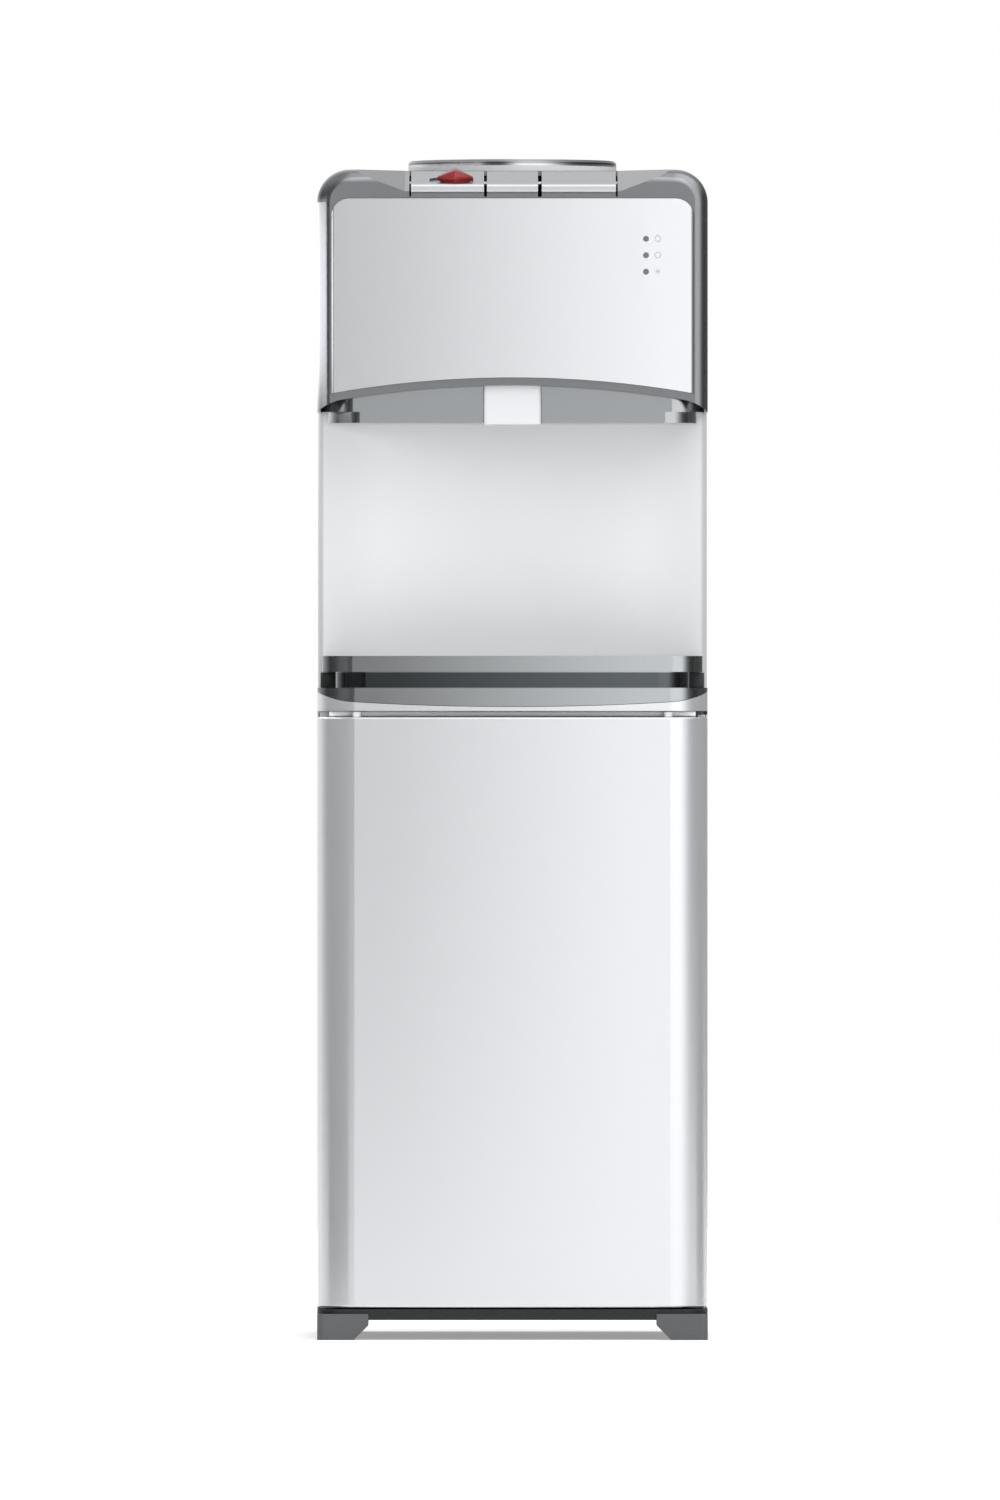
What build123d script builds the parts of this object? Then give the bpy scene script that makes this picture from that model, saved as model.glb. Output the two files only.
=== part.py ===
"""Floor-standing hot, normal and cold water dispenser with a lower storage cabinet.

Millimetres, +Z up, front towards -Y, origin on the floor under the middle of the body.
"""
import os
from math import radians, tan

from build123d import *

os.makedirs("parts", exist_ok=True)

# Overall body
WIDTH = 320.0
DEPTH = 340.0
FOOT_H = 16.4
BASE_H = 8.9
DOOR_H = 483.3
TRAY_STOREY_H = 45.0
NICHE_H = 191.0
HEAD_H = 207.5
NICHE_D = 115.0
CONDENSER_ROOM = 30.0
CORNER_R = 32.0
BOW = 4.0

# Gaps between neighbouring pieces
DOOR_FLOOR_GAP = 1.4
DOOR_TOP_GAP = 5.0
SEAL_GAP = 3.0
TRIM_GAP = 0.4
SLIDE_GAP = 0.4
RUN_FIT = 0.05

# Base and feet
BASE_INSET = 3.0
BASE_R = 20.0
BASE_WALL = 3.0
FOOT_W = 42.0
FOOT_L = 46.0
FOOT_STEP = 4.4
FOOT_CHAMFER = 12.0
FOOT_SETBACK = 0.6
FOOT_LIP_H = 5.0
FOOT_LIP_L = 14.0
FOOT_R = 6.0
FOOT_BOSS = 20.0
PAD_R = 11.0
PAD_INSET = 19.0
PAD_CHAMFER = 2.0

# Sheet metal
SHEET = 1.2
BACK_PANEL_Z = 232.0
VENT_W = 60.0
VENT_H = 5.0
VENT_PITCH = 14.0
VENT_ROWS = 5

# Door and hinges
DOOR_T = 48.0
DOOR_WALL = 3.0
DOOR_EDGE_R = 1.6
HINGE_R = 12.0
HINGE_POST = 10.0
DOOR_RAIL = 22.0
DOOR_LINER_T = 3.0
DOOR_LINER_REBATE = 5.0
DOOR_LINER_DISH = 1.5
GASKET_W = 7.0
GASKET_T = 2.6
GASKET_MARGIN = 2.0
PIN_R = 4.0
PIN_L = 14.0
PIN_END_GAP = 1.0
HINGE_WASHER_R = 9.0
HINGE_PLATE_T = 3.0
HINGE_PLATE_W = 24.0
HINGE_LIFT = 0.2

# Storage liner, with a step over the compressor
LINER_SIDE_GAP = 8.0
LINER_WALL = 2.0
LINER_FLOOR_GAP = 4.0
LINER_LOW_D = 122.0
LINER_STEP_Z = 214.0
LINER_BACK_GAP = 14.0
LINER_FLANGE_T = 2.0
LINER_FLANGE_GAP = 0.6

# Tray storey
SMILE_MID = 3.2
SMILE_END = 14.0
SMILE_TIP = 18.1
SMILE_KNEE = 7.2
SMILE_KNEE_INSET = 30.0
SMILE_OVERRUN = 5.0
TRAY_UPPER_INSET = 4.0
TRAY_LOWER_H = 19.0
TRAY_GROOVE_H = 13.0
TRAY_GROOVE_D = 15.0
TRAY_R = 26.0
TRAY_RIM = 9.0
TRAY_FLOOR = 3.0
TRAY_BACK_GAP = 2.0
GRILLE_T = 3.0
GRILLE_GAP = 0.5
GRILLE_LEDGE = 4.0
GRILLE_BORDER = 9.0
GRILLE_SLOT_W = 5.0
GRILLE_SLOT_PITCH = 11.0

# Splash-back
SPLASH_T = 3.0
SPLASH_RETURN = 18.0
SPLASH_R = 5.0

# Head shell
HEAD_SETBACK = 7.0
HEAD_WALL = 3.0
HEAD_FRONT_T = 5.0
HEAD_TOP_R = 27.0
HEAD_EDGE_R = 10.5
LIP_END_RISE = 9.0
LIP_KNEE_RISE = 19.0
LIP_KNEE_X = 139.0
LIP_MID_RISE = 30.5

# Front panel
PANEL_SIDE = 11.5
PANEL_TOP_DROP = 24.0
PANEL_END_RISE = 24.0
PANEL_MID_RISE = 37.0
PANEL_TOP_R = 15.0
PANEL_SEAT = 3.0
PANEL_LEDGE = 6.0
PANEL_PROUD = 1.5
PANEL_SKIN = 2.5

# Key deck and keys
DECK_RUN = 53.0
DECK_DROP = 18.0
DECK_END_X = 136.0
DECK_FLOOR_X = 88.0
HOT_KEY_X = (-83.0, -23.3)
NORMAL_KEY_X = (-20.9, 20.9)
COLD_KEY_X = (24.0, 84.7)
KEY_NOSE_H = 6.7
KEY_NOSE_LIFT = -1.2
KEY_NOSE_R = 2.0
KEY_NOSE_Y = 1.0
KEY_BACK_GAP = 2.0
KEY_WINDOW_GAP = 1.5
KEY_RIM = 1.5
KEY_SKIRT_GAP = 2.0
KEY_SKIRT_T = 2.0
KEY_SKIRT_DROP = 6.0
ROD_R = 2.0
ROD_BACK = 7.0
ROD_DROP = 11.0
BARREL_R = 4.0
ROD_LUG_T = 4.0

# Child lock on the hot key
LOCK_W = 29.0
LOCK_L = 20.0
LOCK_H = 8.0
LOCK_X = -47.0
LOCK_TRAVEL = 6.0
LOCK_SEAT = 1.5
LOCK_RIM = 1.0
LOCK_EDGE_R = 2.0
LOCK_GAP = 0.5
LOCK_LIFT = 0.1
LOCK_BACK = 17.0

# Underbody and spout
UNDER_INSET = 9.0
UNDER_R = 26.0
UNDER_SETBACK = 13.0
UNDER_WALL = 2.5
UNDER_H = 48.0
UNDER_FLANGE_T = 3.0
UNDER_FLANGE_L = 60.0
SPOUT_W = 46.6
SPOUT_PROUD = 7.0
SPOUT_L = 54.0
SPOUT_WALL = 3.0
SPOUT_DROP = 1.2
NOZZLE_R = 8.0
NOZZLE_WALL = 2.0

# Valves
VALVE_SETBACK = 20.0
VALVE_R = 13.0
VALVE_NECK_R = 7.0
VALVE_NECK_H = 10.0
PLUNGER_R = 4.0
PLUNGER_HEAD_R = 6.0
PLUNGER_HEAD_H = 2.0
PLUNGER_DEPTH = 16.0
PLUNGER_GAP = 0.4
PLUNGER_STAND = 14.0
PLUNGER_ROOM = 4.0
MANIFOLD_H = 26.0
MANIFOLD_L = 28.0
MANIFOLD_END = 8.0

# Indicator lamps and board
LAMP_R = 2.3
LAMP_INSET = 50.7
LAMP_DROPS = (57.0, 70.5, 84.0)
LAMP_FIT = 0.1
BOARD_W = 34.0
BOARD_H = 56.0
BOARD_T = 1.6
BOARD_STANDOFF = 8.0
BOSS_R = 3.5
LAMP_PROUD = 0.2

# Bottle seat
SEAT_BACK = 105.0
SEAT_R = 86.0
SEAT_FLANGE_H = 6.0
COLLAR_H = 5.0
COLLAR_LIP = 2.0
COLLAR_W = 11.0
FUNNEL_R = 71.0
FUNNEL_WALL = 3.0
FUNNEL_RIM_DEPTH = 14.0
FUNNEL_CONE_H = 33.0
FUNNEL_NECK_R = 28.0
FUNNEL_NECK_H = 10.0
PROBE_R = 10.0
PROBE_BORE_R = 6.0
PROBE_H = 52.0
PROBE_WEB_T = 3.0
PROBE_HOLE_R = 3.5
PROBE_HOLES = 6

# Cold tank
COLD_R = 72.0
COLD_FOAM = 14.0
COLD_WALL = 1.2
COIL_T = 4.0
COIL_H = 48.0
COIL_DROP = 14.0
COLD_LID = 10.0

# Hot tank
HOT_X = -62.0
HOT_Y = 48.0
HOT_R = 46.0
HOT_H = 130.0
HOT_WALL = 1.0
HOT_FOAM = 20.0
HOT_FOAM_FLOOR = 16.0
HEATER_T = 5.0
HEATER_H = 34.0
STAT_R = 9.0
STAT_H = 6.0

# Water tubes
TUBE_R = 5.0
TUBE_BORE_R = 3.5
TUBE_BEND_R = 22.0
HOT_TUBE_X = -112.0
HOT_TUBE_RISE = 45.0

# Compressor
COMP_X = 16.0
COMP_R = 56.0
COMP_H = 138.0
COMP_DOME_R = 26.0
COMP_WALL = 11.0
COMP_SEAM_T = 3.0
COMP_SEAM_H = 5.0
COMP_BACK_GAP = 14.0
FOOT_PLATE_W = 150.0
FOOT_PLATE_L = 96.0
FOOT_PLATE_T = 3.0
GROMMET_R = 11.0
GROMMET_H = 12.0
GROMMET_STEM_R = 5.0
GROMMET_INSET = 12.0
RELAY_W = 34.0
RELAY_L = 42.0
RELAY_H = 44.0
RELAY_RISE = 16.0

# Condenser
CONDENSER_R = 2.4
CONDENSER_SIDE_GAP = 38.0
CONDENSER_Z = 296.0
CONDENSER_PITCH = 36.0
CONDENSER_RUNS = 13
WIRE_R = 0.8
WIRE_PITCH = 14.0
WIRE_GAP = 0.1
WIRE_OVERHANG = 12.0
BRACKET_W = 16.0
BRACKET_H = 30.0
BRACKET_X = 104.0

# Refrigerant pipes and drier
PIPE_R = 3.0
PIPE_BEND_R = 16.0
DRIER_R = 9.0
DRIER_L = 84.0
DRIER_NECK = 14.0
DRIER_INSET = 52.0
DRIER_Z = 70.0
DRIER_BACK_GAP = 20.0
PIPE_OUTSET = 28.0
PIPE_RISE = 24.0
SUCTION_BACK_GAP = 7.6
SUCTION_OFFSET = 30.0
SUCTION_BEND_R = 7.0
PIPE_HOLE_GAP = 1.0

# Rear fittings
SWITCH_INSET = 76.0
SWITCH_DROP = 96.0
SWITCH_PLATE_W = 62.0
SWITCH_PLATE_H = 36.0
SWITCH_PLATE_T = 4.0
SWITCH_PITCH = 28.0
ROCKER_W = 14.0
ROCKER_H = 22.0
ROCKER_PROUD = 4.0
ROCKER_DEPTH = 3.0
ROCKER_GAP = 1.2
ROCKER_PIN_R = 1.2
ROCKER_PIN_L = 2.5
ROCKER_ANGLE = 7.0
GLAND_INSET = 42.0
GLAND_Z = 262.0
GLAND_R = 11.0
GLAND_BORE_R = 4.2
GLAND_L = 16.0
GLAND_NUT_R = 15.0
GLAND_NUT_T = 5.0
DRAIN_X = -62.0
DRAIN_Z = 262.0
DRAIN_R = 9.0
DRAIN_BORE_R = 5.0
DRAIN_L = 14.0
DRAIN_CAP_R = 13.0
DRAIN_CAP_L = 10.0
SCREW_R = 3.6
SCREW_H = 2.2
SCREW_SOCKET_R = 1.6
SCREW_INSET = 10.0

# Levels
HALF = WIDTH / 2
FRONT = -DEPTH / 2
BACK = DEPTH / 2 - CONDENSER_ROOM
BASE_TOP = FOOT_H + BASE_H
DOOR_Z = BASE_TOP + DOOR_FLOOR_GAP
DOOR_TOP = DOOR_Z + DOOR_H
STOREY_Z = DOOR_TOP + DOOR_TOP_GAP
NICHE_Z = STOREY_Z + TRAY_STOREY_H
HEAD_Z = NICHE_Z + NICHE_H
HEAD_TOP = HEAD_Z + HEAD_H
DOOR_BACK = FRONT + DOOR_T
CABINET_FRONT = DOOR_BACK + SEAL_GAP
SPLASH_Y = FRONT + NICHE_D
HEAD_FRONT = FRONT + HEAD_SETBACK
SHELL_Z = HEAD_Z + LIP_END_RISE
COLUMN_FRONT = SPLASH_Y + SPLASH_RETURN
SUCTION_X = COMP_X - SUCTION_OFFSET
SUCTION_Y = BACK - SUCTION_BACK_GAP
SEAT_Y = BACK - SEAT_BACK
CONDENSER_HALF = HALF - CONDENSER_SIDE_GAP
PIPE_SIDE = CONDENSER_HALF + PIPE_OUTSET
GLAND_X = HALF - GLAND_INSET
DRIER_X = DRIER_INSET - HALF
SWITCH_X = HALF - SWITCH_INSET
LAMP_X = HALF - LAMP_INSET


def xz(y):
    """Upright plane across the body at depth y, facing the front."""
    return Plane.XZ.offset(-y)


def yz(x):
    """Upright plane along the body at offset x, facing right."""
    return Plane.YZ.offset(x)


def polygon(*points):
    """Straight-sided outline through the given points, filled."""
    with BuildLine() as outline:
        Polyline(*points, close=True)
    make_face(outline.edges())


def slab(low_x, high_x, low_y, high_y):
    """Rectangle between two corners."""
    with Locations(((low_x + high_x) / 2, (low_y + high_y) / 2)):
        Rectangle(high_x - low_x, high_y - low_y)


def front_rounded(half, front, back, radius):
    """Plan outline with a straight front and two rounded front corners."""
    with BuildLine() as outline:
        FilletPolyline((half, back), (half, front), (-half, front), (-half, back), radius=radius)
        Line((-half, back), (half, back))
    make_face(outline.edges())


def bowed_plan(half, front, back, front_radius):
    """Plan outline whose front bows forward between two rounded corners."""
    with BuildLine() as outline:
        ThreePointArc((-half, front + BOW), (0, front), (half, front + BOW))
        Polyline((half, front + BOW), (half, back), (-half, back), (-half, front + BOW))
    make_face(outline.edges())
    fillet(vertices().group_by(Axis.Y)[0], radius=front_radius)


def finish(piece, name):
    """Label a finished piece and write it to its own file."""
    piece.part.label = name
    export_step(piece.part, f"parts/{name}.step")


# Base plate: black moulded pan under the cabinet, hollow from below
with BuildPart() as base_plate:
    with BuildSketch(Plane.XY.offset(FOOT_H)):
        front_rounded(HALF, FRONT + BASE_INSET, BACK, BASE_R)
    extrude(amount=BASE_H)
    with BuildSketch(Plane.XY.offset(FOOT_H)):
        front_rounded(HALF - BASE_WALL, FRONT + BASE_INSET + BASE_WALL, BACK - BASE_WALL,
                      BASE_R - BASE_WALL)
    extrude(amount=BASE_H - BASE_WALL, mode=Mode.SUBTRACT)
finish(base_plate, "base_plate")

# Front feet: wedge-sided blocks with a boss that reaches up into the pan and a lip round its corner
foot_front = FRONT + FOOT_SETBACK
with BuildPart() as front_feet:
    with BuildSketch(xz(foot_front + FOOT_L)):
        polygon((HALF, 0), (HALF, FOOT_H), (HALF - FOOT_W, FOOT_H), (HALF - FOOT_W, FOOT_H - FOOT_STEP),
                (HALF - FOOT_W + FOOT_CHAMFER, 0))
    extrude(amount=FOOT_L)
    with BuildSketch(Plane.XY.offset(FOOT_H)):
        slab(HALF - FOOT_W, HALF, foot_front, foot_front + FOOT_LIP_L)
    extrude(amount=FOOT_LIP_H)
    with BuildSketch(Plane.XY.offset(FOOT_H)):
        front_rounded(HALF, FRONT + BASE_INSET, BACK, BASE_R)
    extrude(amount=FOOT_LIP_H, mode=Mode.SUBTRACT)
    outer_side = front_feet.faces().sort_by(Axis.X)[-1]
    fillet(outer_side.edges().filter_by(Axis.Z).sort_by(Axis.Y)[0], radius=FOOT_R)
    with BuildSketch(Plane.XY.offset(FOOT_H)):
        with Locations((HALF - FOOT_W / 2, foot_front + FOOT_L / 2)):
            Rectangle(FOOT_BOSS, FOOT_BOSS)
    extrude(amount=BASE_H - BASE_WALL)
    mirror(about=Plane.YZ)
finish(front_feet, "front_feet")

# Rear feet: round pads with a boss that reaches up into the pan
with BuildPart() as rear_feet:
    with BuildSketch():
        with Locations((HALF - PAD_INSET, BACK - PAD_INSET)):
            Circle(PAD_R)
    extrude(amount=FOOT_H)
    chamfer(rear_feet.faces().sort_by(Axis.Z)[0].edges(), length=PAD_CHAMFER)
    with BuildSketch(Plane.XY.offset(FOOT_H)):
        with Locations((HALF - PAD_INSET, BACK - PAD_INSET)):
            Circle(FOOT_BOSS / 2)
    extrude(amount=BASE_H - BASE_WALL)
    mirror(about=Plane.YZ)
finish(rear_feet, "rear_feet")

# Side panels: one bent steel sheet each, stepped back above the tray storey
for side, name in ((-1, "left_side_panel"), (1, "right_side_panel")):
    with BuildPart() as side_panel:
        with BuildSketch(yz(-HALF if side < 0 else HALF - SHEET)):
            polygon((CABINET_FRONT, BASE_TOP), (BACK, BASE_TOP), (BACK, SHELL_Z),
                    (COLUMN_FRONT, SHELL_Z), (COLUMN_FRONT, STOREY_Z), (CABINET_FRONT, STOREY_Z))
        extrude(amount=SHEET)
    finish(side_panel, name)

# Back panel: vented sheet above the open compressor bay
with BuildPart() as back_panel:
    with BuildSketch(xz(BACK)):
        slab(-HALF + SHEET, HALF - SHEET, BACK_PANEL_Z, SHELL_Z)
        vent_top = SHELL_Z - VENT_PITCH * (VENT_ROWS + 1) / 2
        with Locations((0, vent_top)):
            with GridLocations(2 * VENT_W, VENT_PITCH, 2, VENT_ROWS):
                SlotOverall(VENT_W, VENT_H, mode=Mode.SUBTRACT)
    extrude(amount=SHEET)
finish(back_panel, "back_panel")

# Partitions: steel deck between cabinet and column, and the shelf that carries the cold tank
with BuildPart() as partitions:
    for shelf_z, shelf_front in ((STOREY_Z, CABINET_FRONT), (SHELL_Z, COLUMN_FRONT)):
        with BuildSketch(Plane.XY.offset(shelf_z - SHEET)):
            slab(-HALF + SHEET, HALF - SHEET, shelf_front, BACK - SHEET)
            with Locations((SUCTION_X, SUCTION_Y)):
                Circle(PIPE_R + PIPE_HOLE_GAP, mode=Mode.SUBTRACT)
        extrude(amount=SHEET)
finish(partitions, "partitions")

# Cabinet liner: moulded box open at the front, stepped over the compressor
LINER_HALF = HALF - LINER_SIDE_GAP
LINER_Z = BASE_TOP + LINER_FLOOR_GAP
LINER_TOP = STOREY_Z - SHEET - LINER_FLOOR_GAP
LINER_LOW_BACK = CABINET_FRONT + LINER_LOW_D
LINER_BACK = BACK - LINER_BACK_GAP
with BuildPart() as cabinet_liner:
    with BuildSketch(yz(-LINER_HALF)):
        polygon((CABINET_FRONT, LINER_Z), (LINER_LOW_BACK, LINER_Z), (LINER_LOW_BACK, LINER_STEP_Z),
                (LINER_BACK, LINER_STEP_Z), (LINER_BACK, LINER_TOP), (CABINET_FRONT, LINER_TOP))
    extrude(amount=2 * LINER_HALF)
    with BuildSketch(xz(CABINET_FRONT + LINER_FLANGE_T)):
        slab(-HALF + SHEET + LINER_FLANGE_GAP, HALF - SHEET - LINER_FLANGE_GAP,
             BASE_TOP, STOREY_Z - SHEET)
    extrude(amount=LINER_FLANGE_T)
    with BuildSketch(yz(-LINER_HALF + LINER_WALL)):
        polygon((CABINET_FRONT, LINER_Z + LINER_WALL),
                (LINER_LOW_BACK - LINER_WALL, LINER_Z + LINER_WALL),
                (LINER_LOW_BACK - LINER_WALL, LINER_STEP_Z + LINER_WALL),
                (LINER_BACK - LINER_WALL, LINER_STEP_Z + LINER_WALL),
                (LINER_BACK - LINER_WALL, LINER_TOP - LINER_WALL),
                (CABINET_FRONT, LINER_TOP - LINER_WALL))
    extrude(amount=2 * (LINER_HALF - LINER_WALL), mode=Mode.SUBTRACT)
finish(cabinet_liner, "cabinet_liner")

# Door shell: bowed silver front, round corners, rear edges rounded about the hinge line
HINGE_X = HALF - HINGE_R
HINGE_Y = DOOR_BACK - HINGE_R
POCKET_HALF = HALF - HINGE_R - HINGE_POST
with BuildPart() as door_shell:
    with BuildSketch(Plane.XY.offset(DOOR_Z)):
        bowed_plan(HALF, FRONT, DOOR_BACK, CORNER_R)
        fillet(vertices().group_by(Axis.Y)[-1], radius=HINGE_R)
    extrude(amount=DOOR_H)
    fillet(door_shell.faces().sort_by(Axis.Z)[-1].edges(), radius=DOOR_EDGE_R)
    fillet(door_shell.faces().sort_by(Axis.Z)[0].edges(), radius=DOOR_EDGE_R)
    with BuildSketch(xz(DOOR_BACK)):
        slab(-POCKET_HALF, POCKET_HALF, DOOR_Z + DOOR_RAIL, DOOR_TOP - DOOR_RAIL)
    extrude(amount=DOOR_T - DOOR_WALL - BOW, mode=Mode.SUBTRACT)
    with BuildSketch(xz(DOOR_BACK)):
        slab(-POCKET_HALF - DOOR_LINER_REBATE, POCKET_HALF + DOOR_LINER_REBATE,
             DOOR_Z + DOOR_RAIL - DOOR_LINER_REBATE, DOOR_TOP - DOOR_RAIL + DOOR_LINER_REBATE)
    extrude(amount=DOOR_LINER_T, mode=Mode.SUBTRACT)
    for pin_z in (DOOR_Z, DOOR_TOP - PIN_L - PIN_END_GAP):
        with BuildSketch(Plane.XY.offset(pin_z)):
            with Locations((HINGE_X, HINGE_Y)):
                Circle(PIN_R + RUN_FIT)
        extrude(amount=PIN_L + PIN_END_GAP, mode=Mode.SUBTRACT)
finish(door_shell, "door_shell")

# Door liner: inner door panel seated in the rebate, with a shallow dished field
with BuildPart() as door_liner:
    liner_half = POCKET_HALF + DOOR_LINER_REBATE - TRIM_GAP
    liner_low = DOOR_Z + DOOR_RAIL - DOOR_LINER_REBATE + TRIM_GAP
    liner_high = DOOR_TOP - DOOR_RAIL + DOOR_LINER_REBATE - TRIM_GAP
    with BuildSketch(xz(DOOR_BACK)):
        slab(-liner_half, liner_half, liner_low, liner_high)
    extrude(amount=DOOR_LINER_T)
    with BuildSketch(xz(DOOR_BACK)):
        with Locations((0, (liner_low + liner_high) / 2)):
            RectangleRounded(2 * (liner_half - CORNER_R), liner_high - liner_low - 2 * CORNER_R,
                             CORNER_R / 2)
    extrude(amount=DOOR_LINER_DISH, mode=Mode.SUBTRACT)
finish(door_liner, "door_liner")

# Door gasket: soft frame on the door's back, kept on the handle side of the hinge line
with BuildPart() as door_gasket:
    gasket_half = HINGE_X - GASKET_MARGIN
    with BuildSketch(xz(DOOR_BACK + GASKET_T)):
        with Locations((0, (DOOR_Z + DOOR_TOP) / 2)):
            outer_h = DOOR_H - 2 * GASKET_MARGIN - 2 * DOOR_EDGE_R
            RectangleRounded(2 * gasket_half, outer_h, GASKET_W)
            Rectangle(2 * (gasket_half - GASKET_W), outer_h - 2 * GASKET_W, mode=Mode.SUBTRACT)
    extrude(amount=GASKET_T)
finish(door_gasket, "door_gasket")

# Hinges: a washer and pin standing on the base plate, and a plate with a pin under the tray storey
with BuildPart() as door_hinges:
    with BuildSketch(Plane.XY.offset(BASE_TOP)):
        with Locations((HINGE_X, HINGE_Y)):
            Circle(HINGE_WASHER_R)
    extrude(amount=DOOR_FLOOR_GAP - HINGE_LIFT)
    with BuildSketch(Plane.XY.offset(BASE_TOP)):
        with Locations((HINGE_X, HINGE_Y)):
            Circle(PIN_R)
    extrude(amount=DOOR_FLOOR_GAP + PIN_L)
    with BuildSketch(Plane.XY.offset(STOREY_Z - HINGE_PLATE_T)):
        with Locations((HINGE_X, HINGE_Y)):
            RectangleRounded(HINGE_PLATE_W - 2 * HINGE_LIFT, HINGE_PLATE_W, HINGE_R / 2)
    extrude(amount=HINGE_PLATE_T)
    with BuildSketch(Plane.XY.offset(DOOR_TOP - PIN_L)):
        with Locations((HINGE_X, HINGE_Y)):
            Circle(PIN_R)
    extrude(amount=PIN_L + DOOR_TOP_GAP - HINGE_PLATE_T)
finish(door_hinges, "door_hinges")


def smile_face(lift):
    """Upright face under the smile-shaped parting line between apron and tray."""
    base = STOREY_Z + lift
    reach = HALF + SMILE_OVERRUN
    knee_x = HALF - SMILE_KNEE_INSET
    with BuildLine() as outline:
        dip = ThreePointArc((-knee_x, base + SMILE_KNEE), (0, base + SMILE_MID), (knee_x, base + SMILE_KNEE))
        TangentArc((knee_x, base + SMILE_KNEE), (reach, base + SMILE_TIP), tangent=dip % 1)
        TangentArc((-knee_x, base + SMILE_KNEE), (-reach, base + SMILE_TIP), tangent=-(dip % 0))
        Polyline((reach, base + SMILE_TIP), (reach, STOREY_Z), (-reach, STOREY_Z), (-reach, base + SMILE_TIP))
    make_face(outline.edges())


# Apron: silver strip above the door, whose top edge dips in the middle
with BuildPart() as apron:
    with BuildSketch(Plane.XY.offset(STOREY_Z)):
        bowed_plan(HALF, FRONT, SPLASH_Y, CORNER_R)
    extrude(amount=SMILE_TIP)
    with BuildSketch(xz(SPLASH_Y)):
        smile_face(0)
    extrude(amount=NICHE_D, mode=Mode.INTERSECT)
finish(apron, "apron")

# Drip tray: grey pull-out basin with a finger groove round its front and sides
TRAY_BACK = SPLASH_Y - TRAY_BACK_GAP
GROOVE_Z = STOREY_Z + TRAY_LOWER_H
UPPER_Z = GROOVE_Z + TRAY_GROOVE_H
BASIN_INSET = TRAY_GROOVE_D + TRAY_FLOOR
with BuildPart() as drip_tray:
    with BuildSketch(Plane.XY.offset(STOREY_Z)):
        bowed_plan(HALF, FRONT, TRAY_BACK, CORNER_R)
    extrude(amount=TRAY_LOWER_H)
    with BuildSketch(Plane.XY.offset(GROOVE_Z)):
        bowed_plan(HALF - TRAY_GROOVE_D, FRONT + TRAY_GROOVE_D, TRAY_BACK, TRAY_R)
    extrude(amount=TRAY_GROOVE_H)
    with BuildSketch(Plane.XY.offset(UPPER_Z)):
        bowed_plan(HALF - TRAY_UPPER_INSET, FRONT + TRAY_UPPER_INSET, TRAY_BACK, TRAY_R)
    extrude(amount=NICHE_Z - UPPER_Z)
    with BuildSketch(xz(SPLASH_Y)):
        smile_face(SLIDE_GAP)
    extrude(amount=NICHE_D, mode=Mode.SUBTRACT)
    with BuildSketch(Plane.XY.offset(STOREY_Z + SMILE_END + TRAY_FLOOR)):
        bowed_plan(HALF - BASIN_INSET, FRONT + BASIN_INSET, TRAY_BACK - TRAY_RIM, TRAY_R)
    extrude(amount=TRAY_STOREY_H, mode=Mode.SUBTRACT)
    with BuildSketch(Plane.XY.offset(NICHE_Z - GRILLE_T)):
        bowed_plan(HALF - BASIN_INSET + GRILLE_LEDGE, FRONT + BASIN_INSET - GRILLE_LEDGE,
                   TRAY_BACK - TRAY_RIM + GRILLE_LEDGE, TRAY_R)
    extrude(amount=GRILLE_T, mode=Mode.SUBTRACT)
finish(drip_tray, "drip_tray")

# Drip grille: slotted plate lying on the ledge of the tray
with BuildPart() as drip_grille:
    grille_half = HALF - BASIN_INSET + GRILLE_LEDGE - GRILLE_GAP
    grille_front = FRONT + BASIN_INSET - GRILLE_LEDGE + GRILLE_GAP
    grille_back = TRAY_BACK - TRAY_RIM + GRILLE_LEDGE - GRILLE_GAP
    slot_l = grille_back - grille_front - BOW - 2 * GRILLE_BORDER
    slot_count = int(2 * (grille_half - GRILLE_BORDER - TRAY_R / 2) / GRILLE_SLOT_PITCH)
    with BuildSketch(Plane.XY.offset(NICHE_Z - GRILLE_T)):
        bowed_plan(grille_half, grille_front, grille_back, TRAY_R)
        with Locations((0, grille_back - GRILLE_BORDER - slot_l / 2)):
            with GridLocations(GRILLE_SLOT_PITCH, slot_l, slot_count, 1):
                SlotOverall(slot_l, GRILLE_SLOT_W, rotation=90, mode=Mode.SUBTRACT)
    extrude(amount=GRILLE_T)
finish(drip_grille, "drip_grille")

# Splash-back: pale panel at the back of the cup niche, with short side returns
with BuildPart() as splash_back:
    with BuildSketch(Plane.XY.offset(STOREY_Z)):
        front_rounded(HALF, SPLASH_Y, COLUMN_FRONT, SPLASH_R)
        slab_back = COLUMN_FRONT - SPLASH_Y - SPLASH_T
        with Locations((0, COLUMN_FRONT - slab_back / 2)):
            Rectangle(WIDTH - 2 * SPLASH_T, slab_back, mode=Mode.SUBTRACT)
    extrude(amount=SHELL_Z - STOREY_Z)
finish(splash_back, "splash_back")


def head_outline(inset):
    """Front outline of the head with rounded top corners, shrunk by inset."""
    slab(-HALF + inset, HALF - inset, SHELL_Z, HEAD_TOP - inset)
    fillet(vertices().group_by(Axis.Y)[-1], radius=HEAD_TOP_R - inset)


def lip_face():
    """Area under the arched lip at the bottom of the head's front."""
    knee_z = HEAD_Z + LIP_KNEE_RISE
    with BuildLine() as outline:
        arch = ThreePointArc((-LIP_KNEE_X, knee_z), (0, HEAD_Z + LIP_MID_RISE), (LIP_KNEE_X, knee_z))
        TangentArc((LIP_KNEE_X, knee_z), (HALF, SHELL_Z), tangent=arch % 1)
        TangentArc((-LIP_KNEE_X, knee_z), (-HALF, SHELL_Z), tangent=-(arch % 0))
        Line((-HALF, SHELL_Z), (HALF, SHELL_Z))
    make_face(outline.edges())


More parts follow.
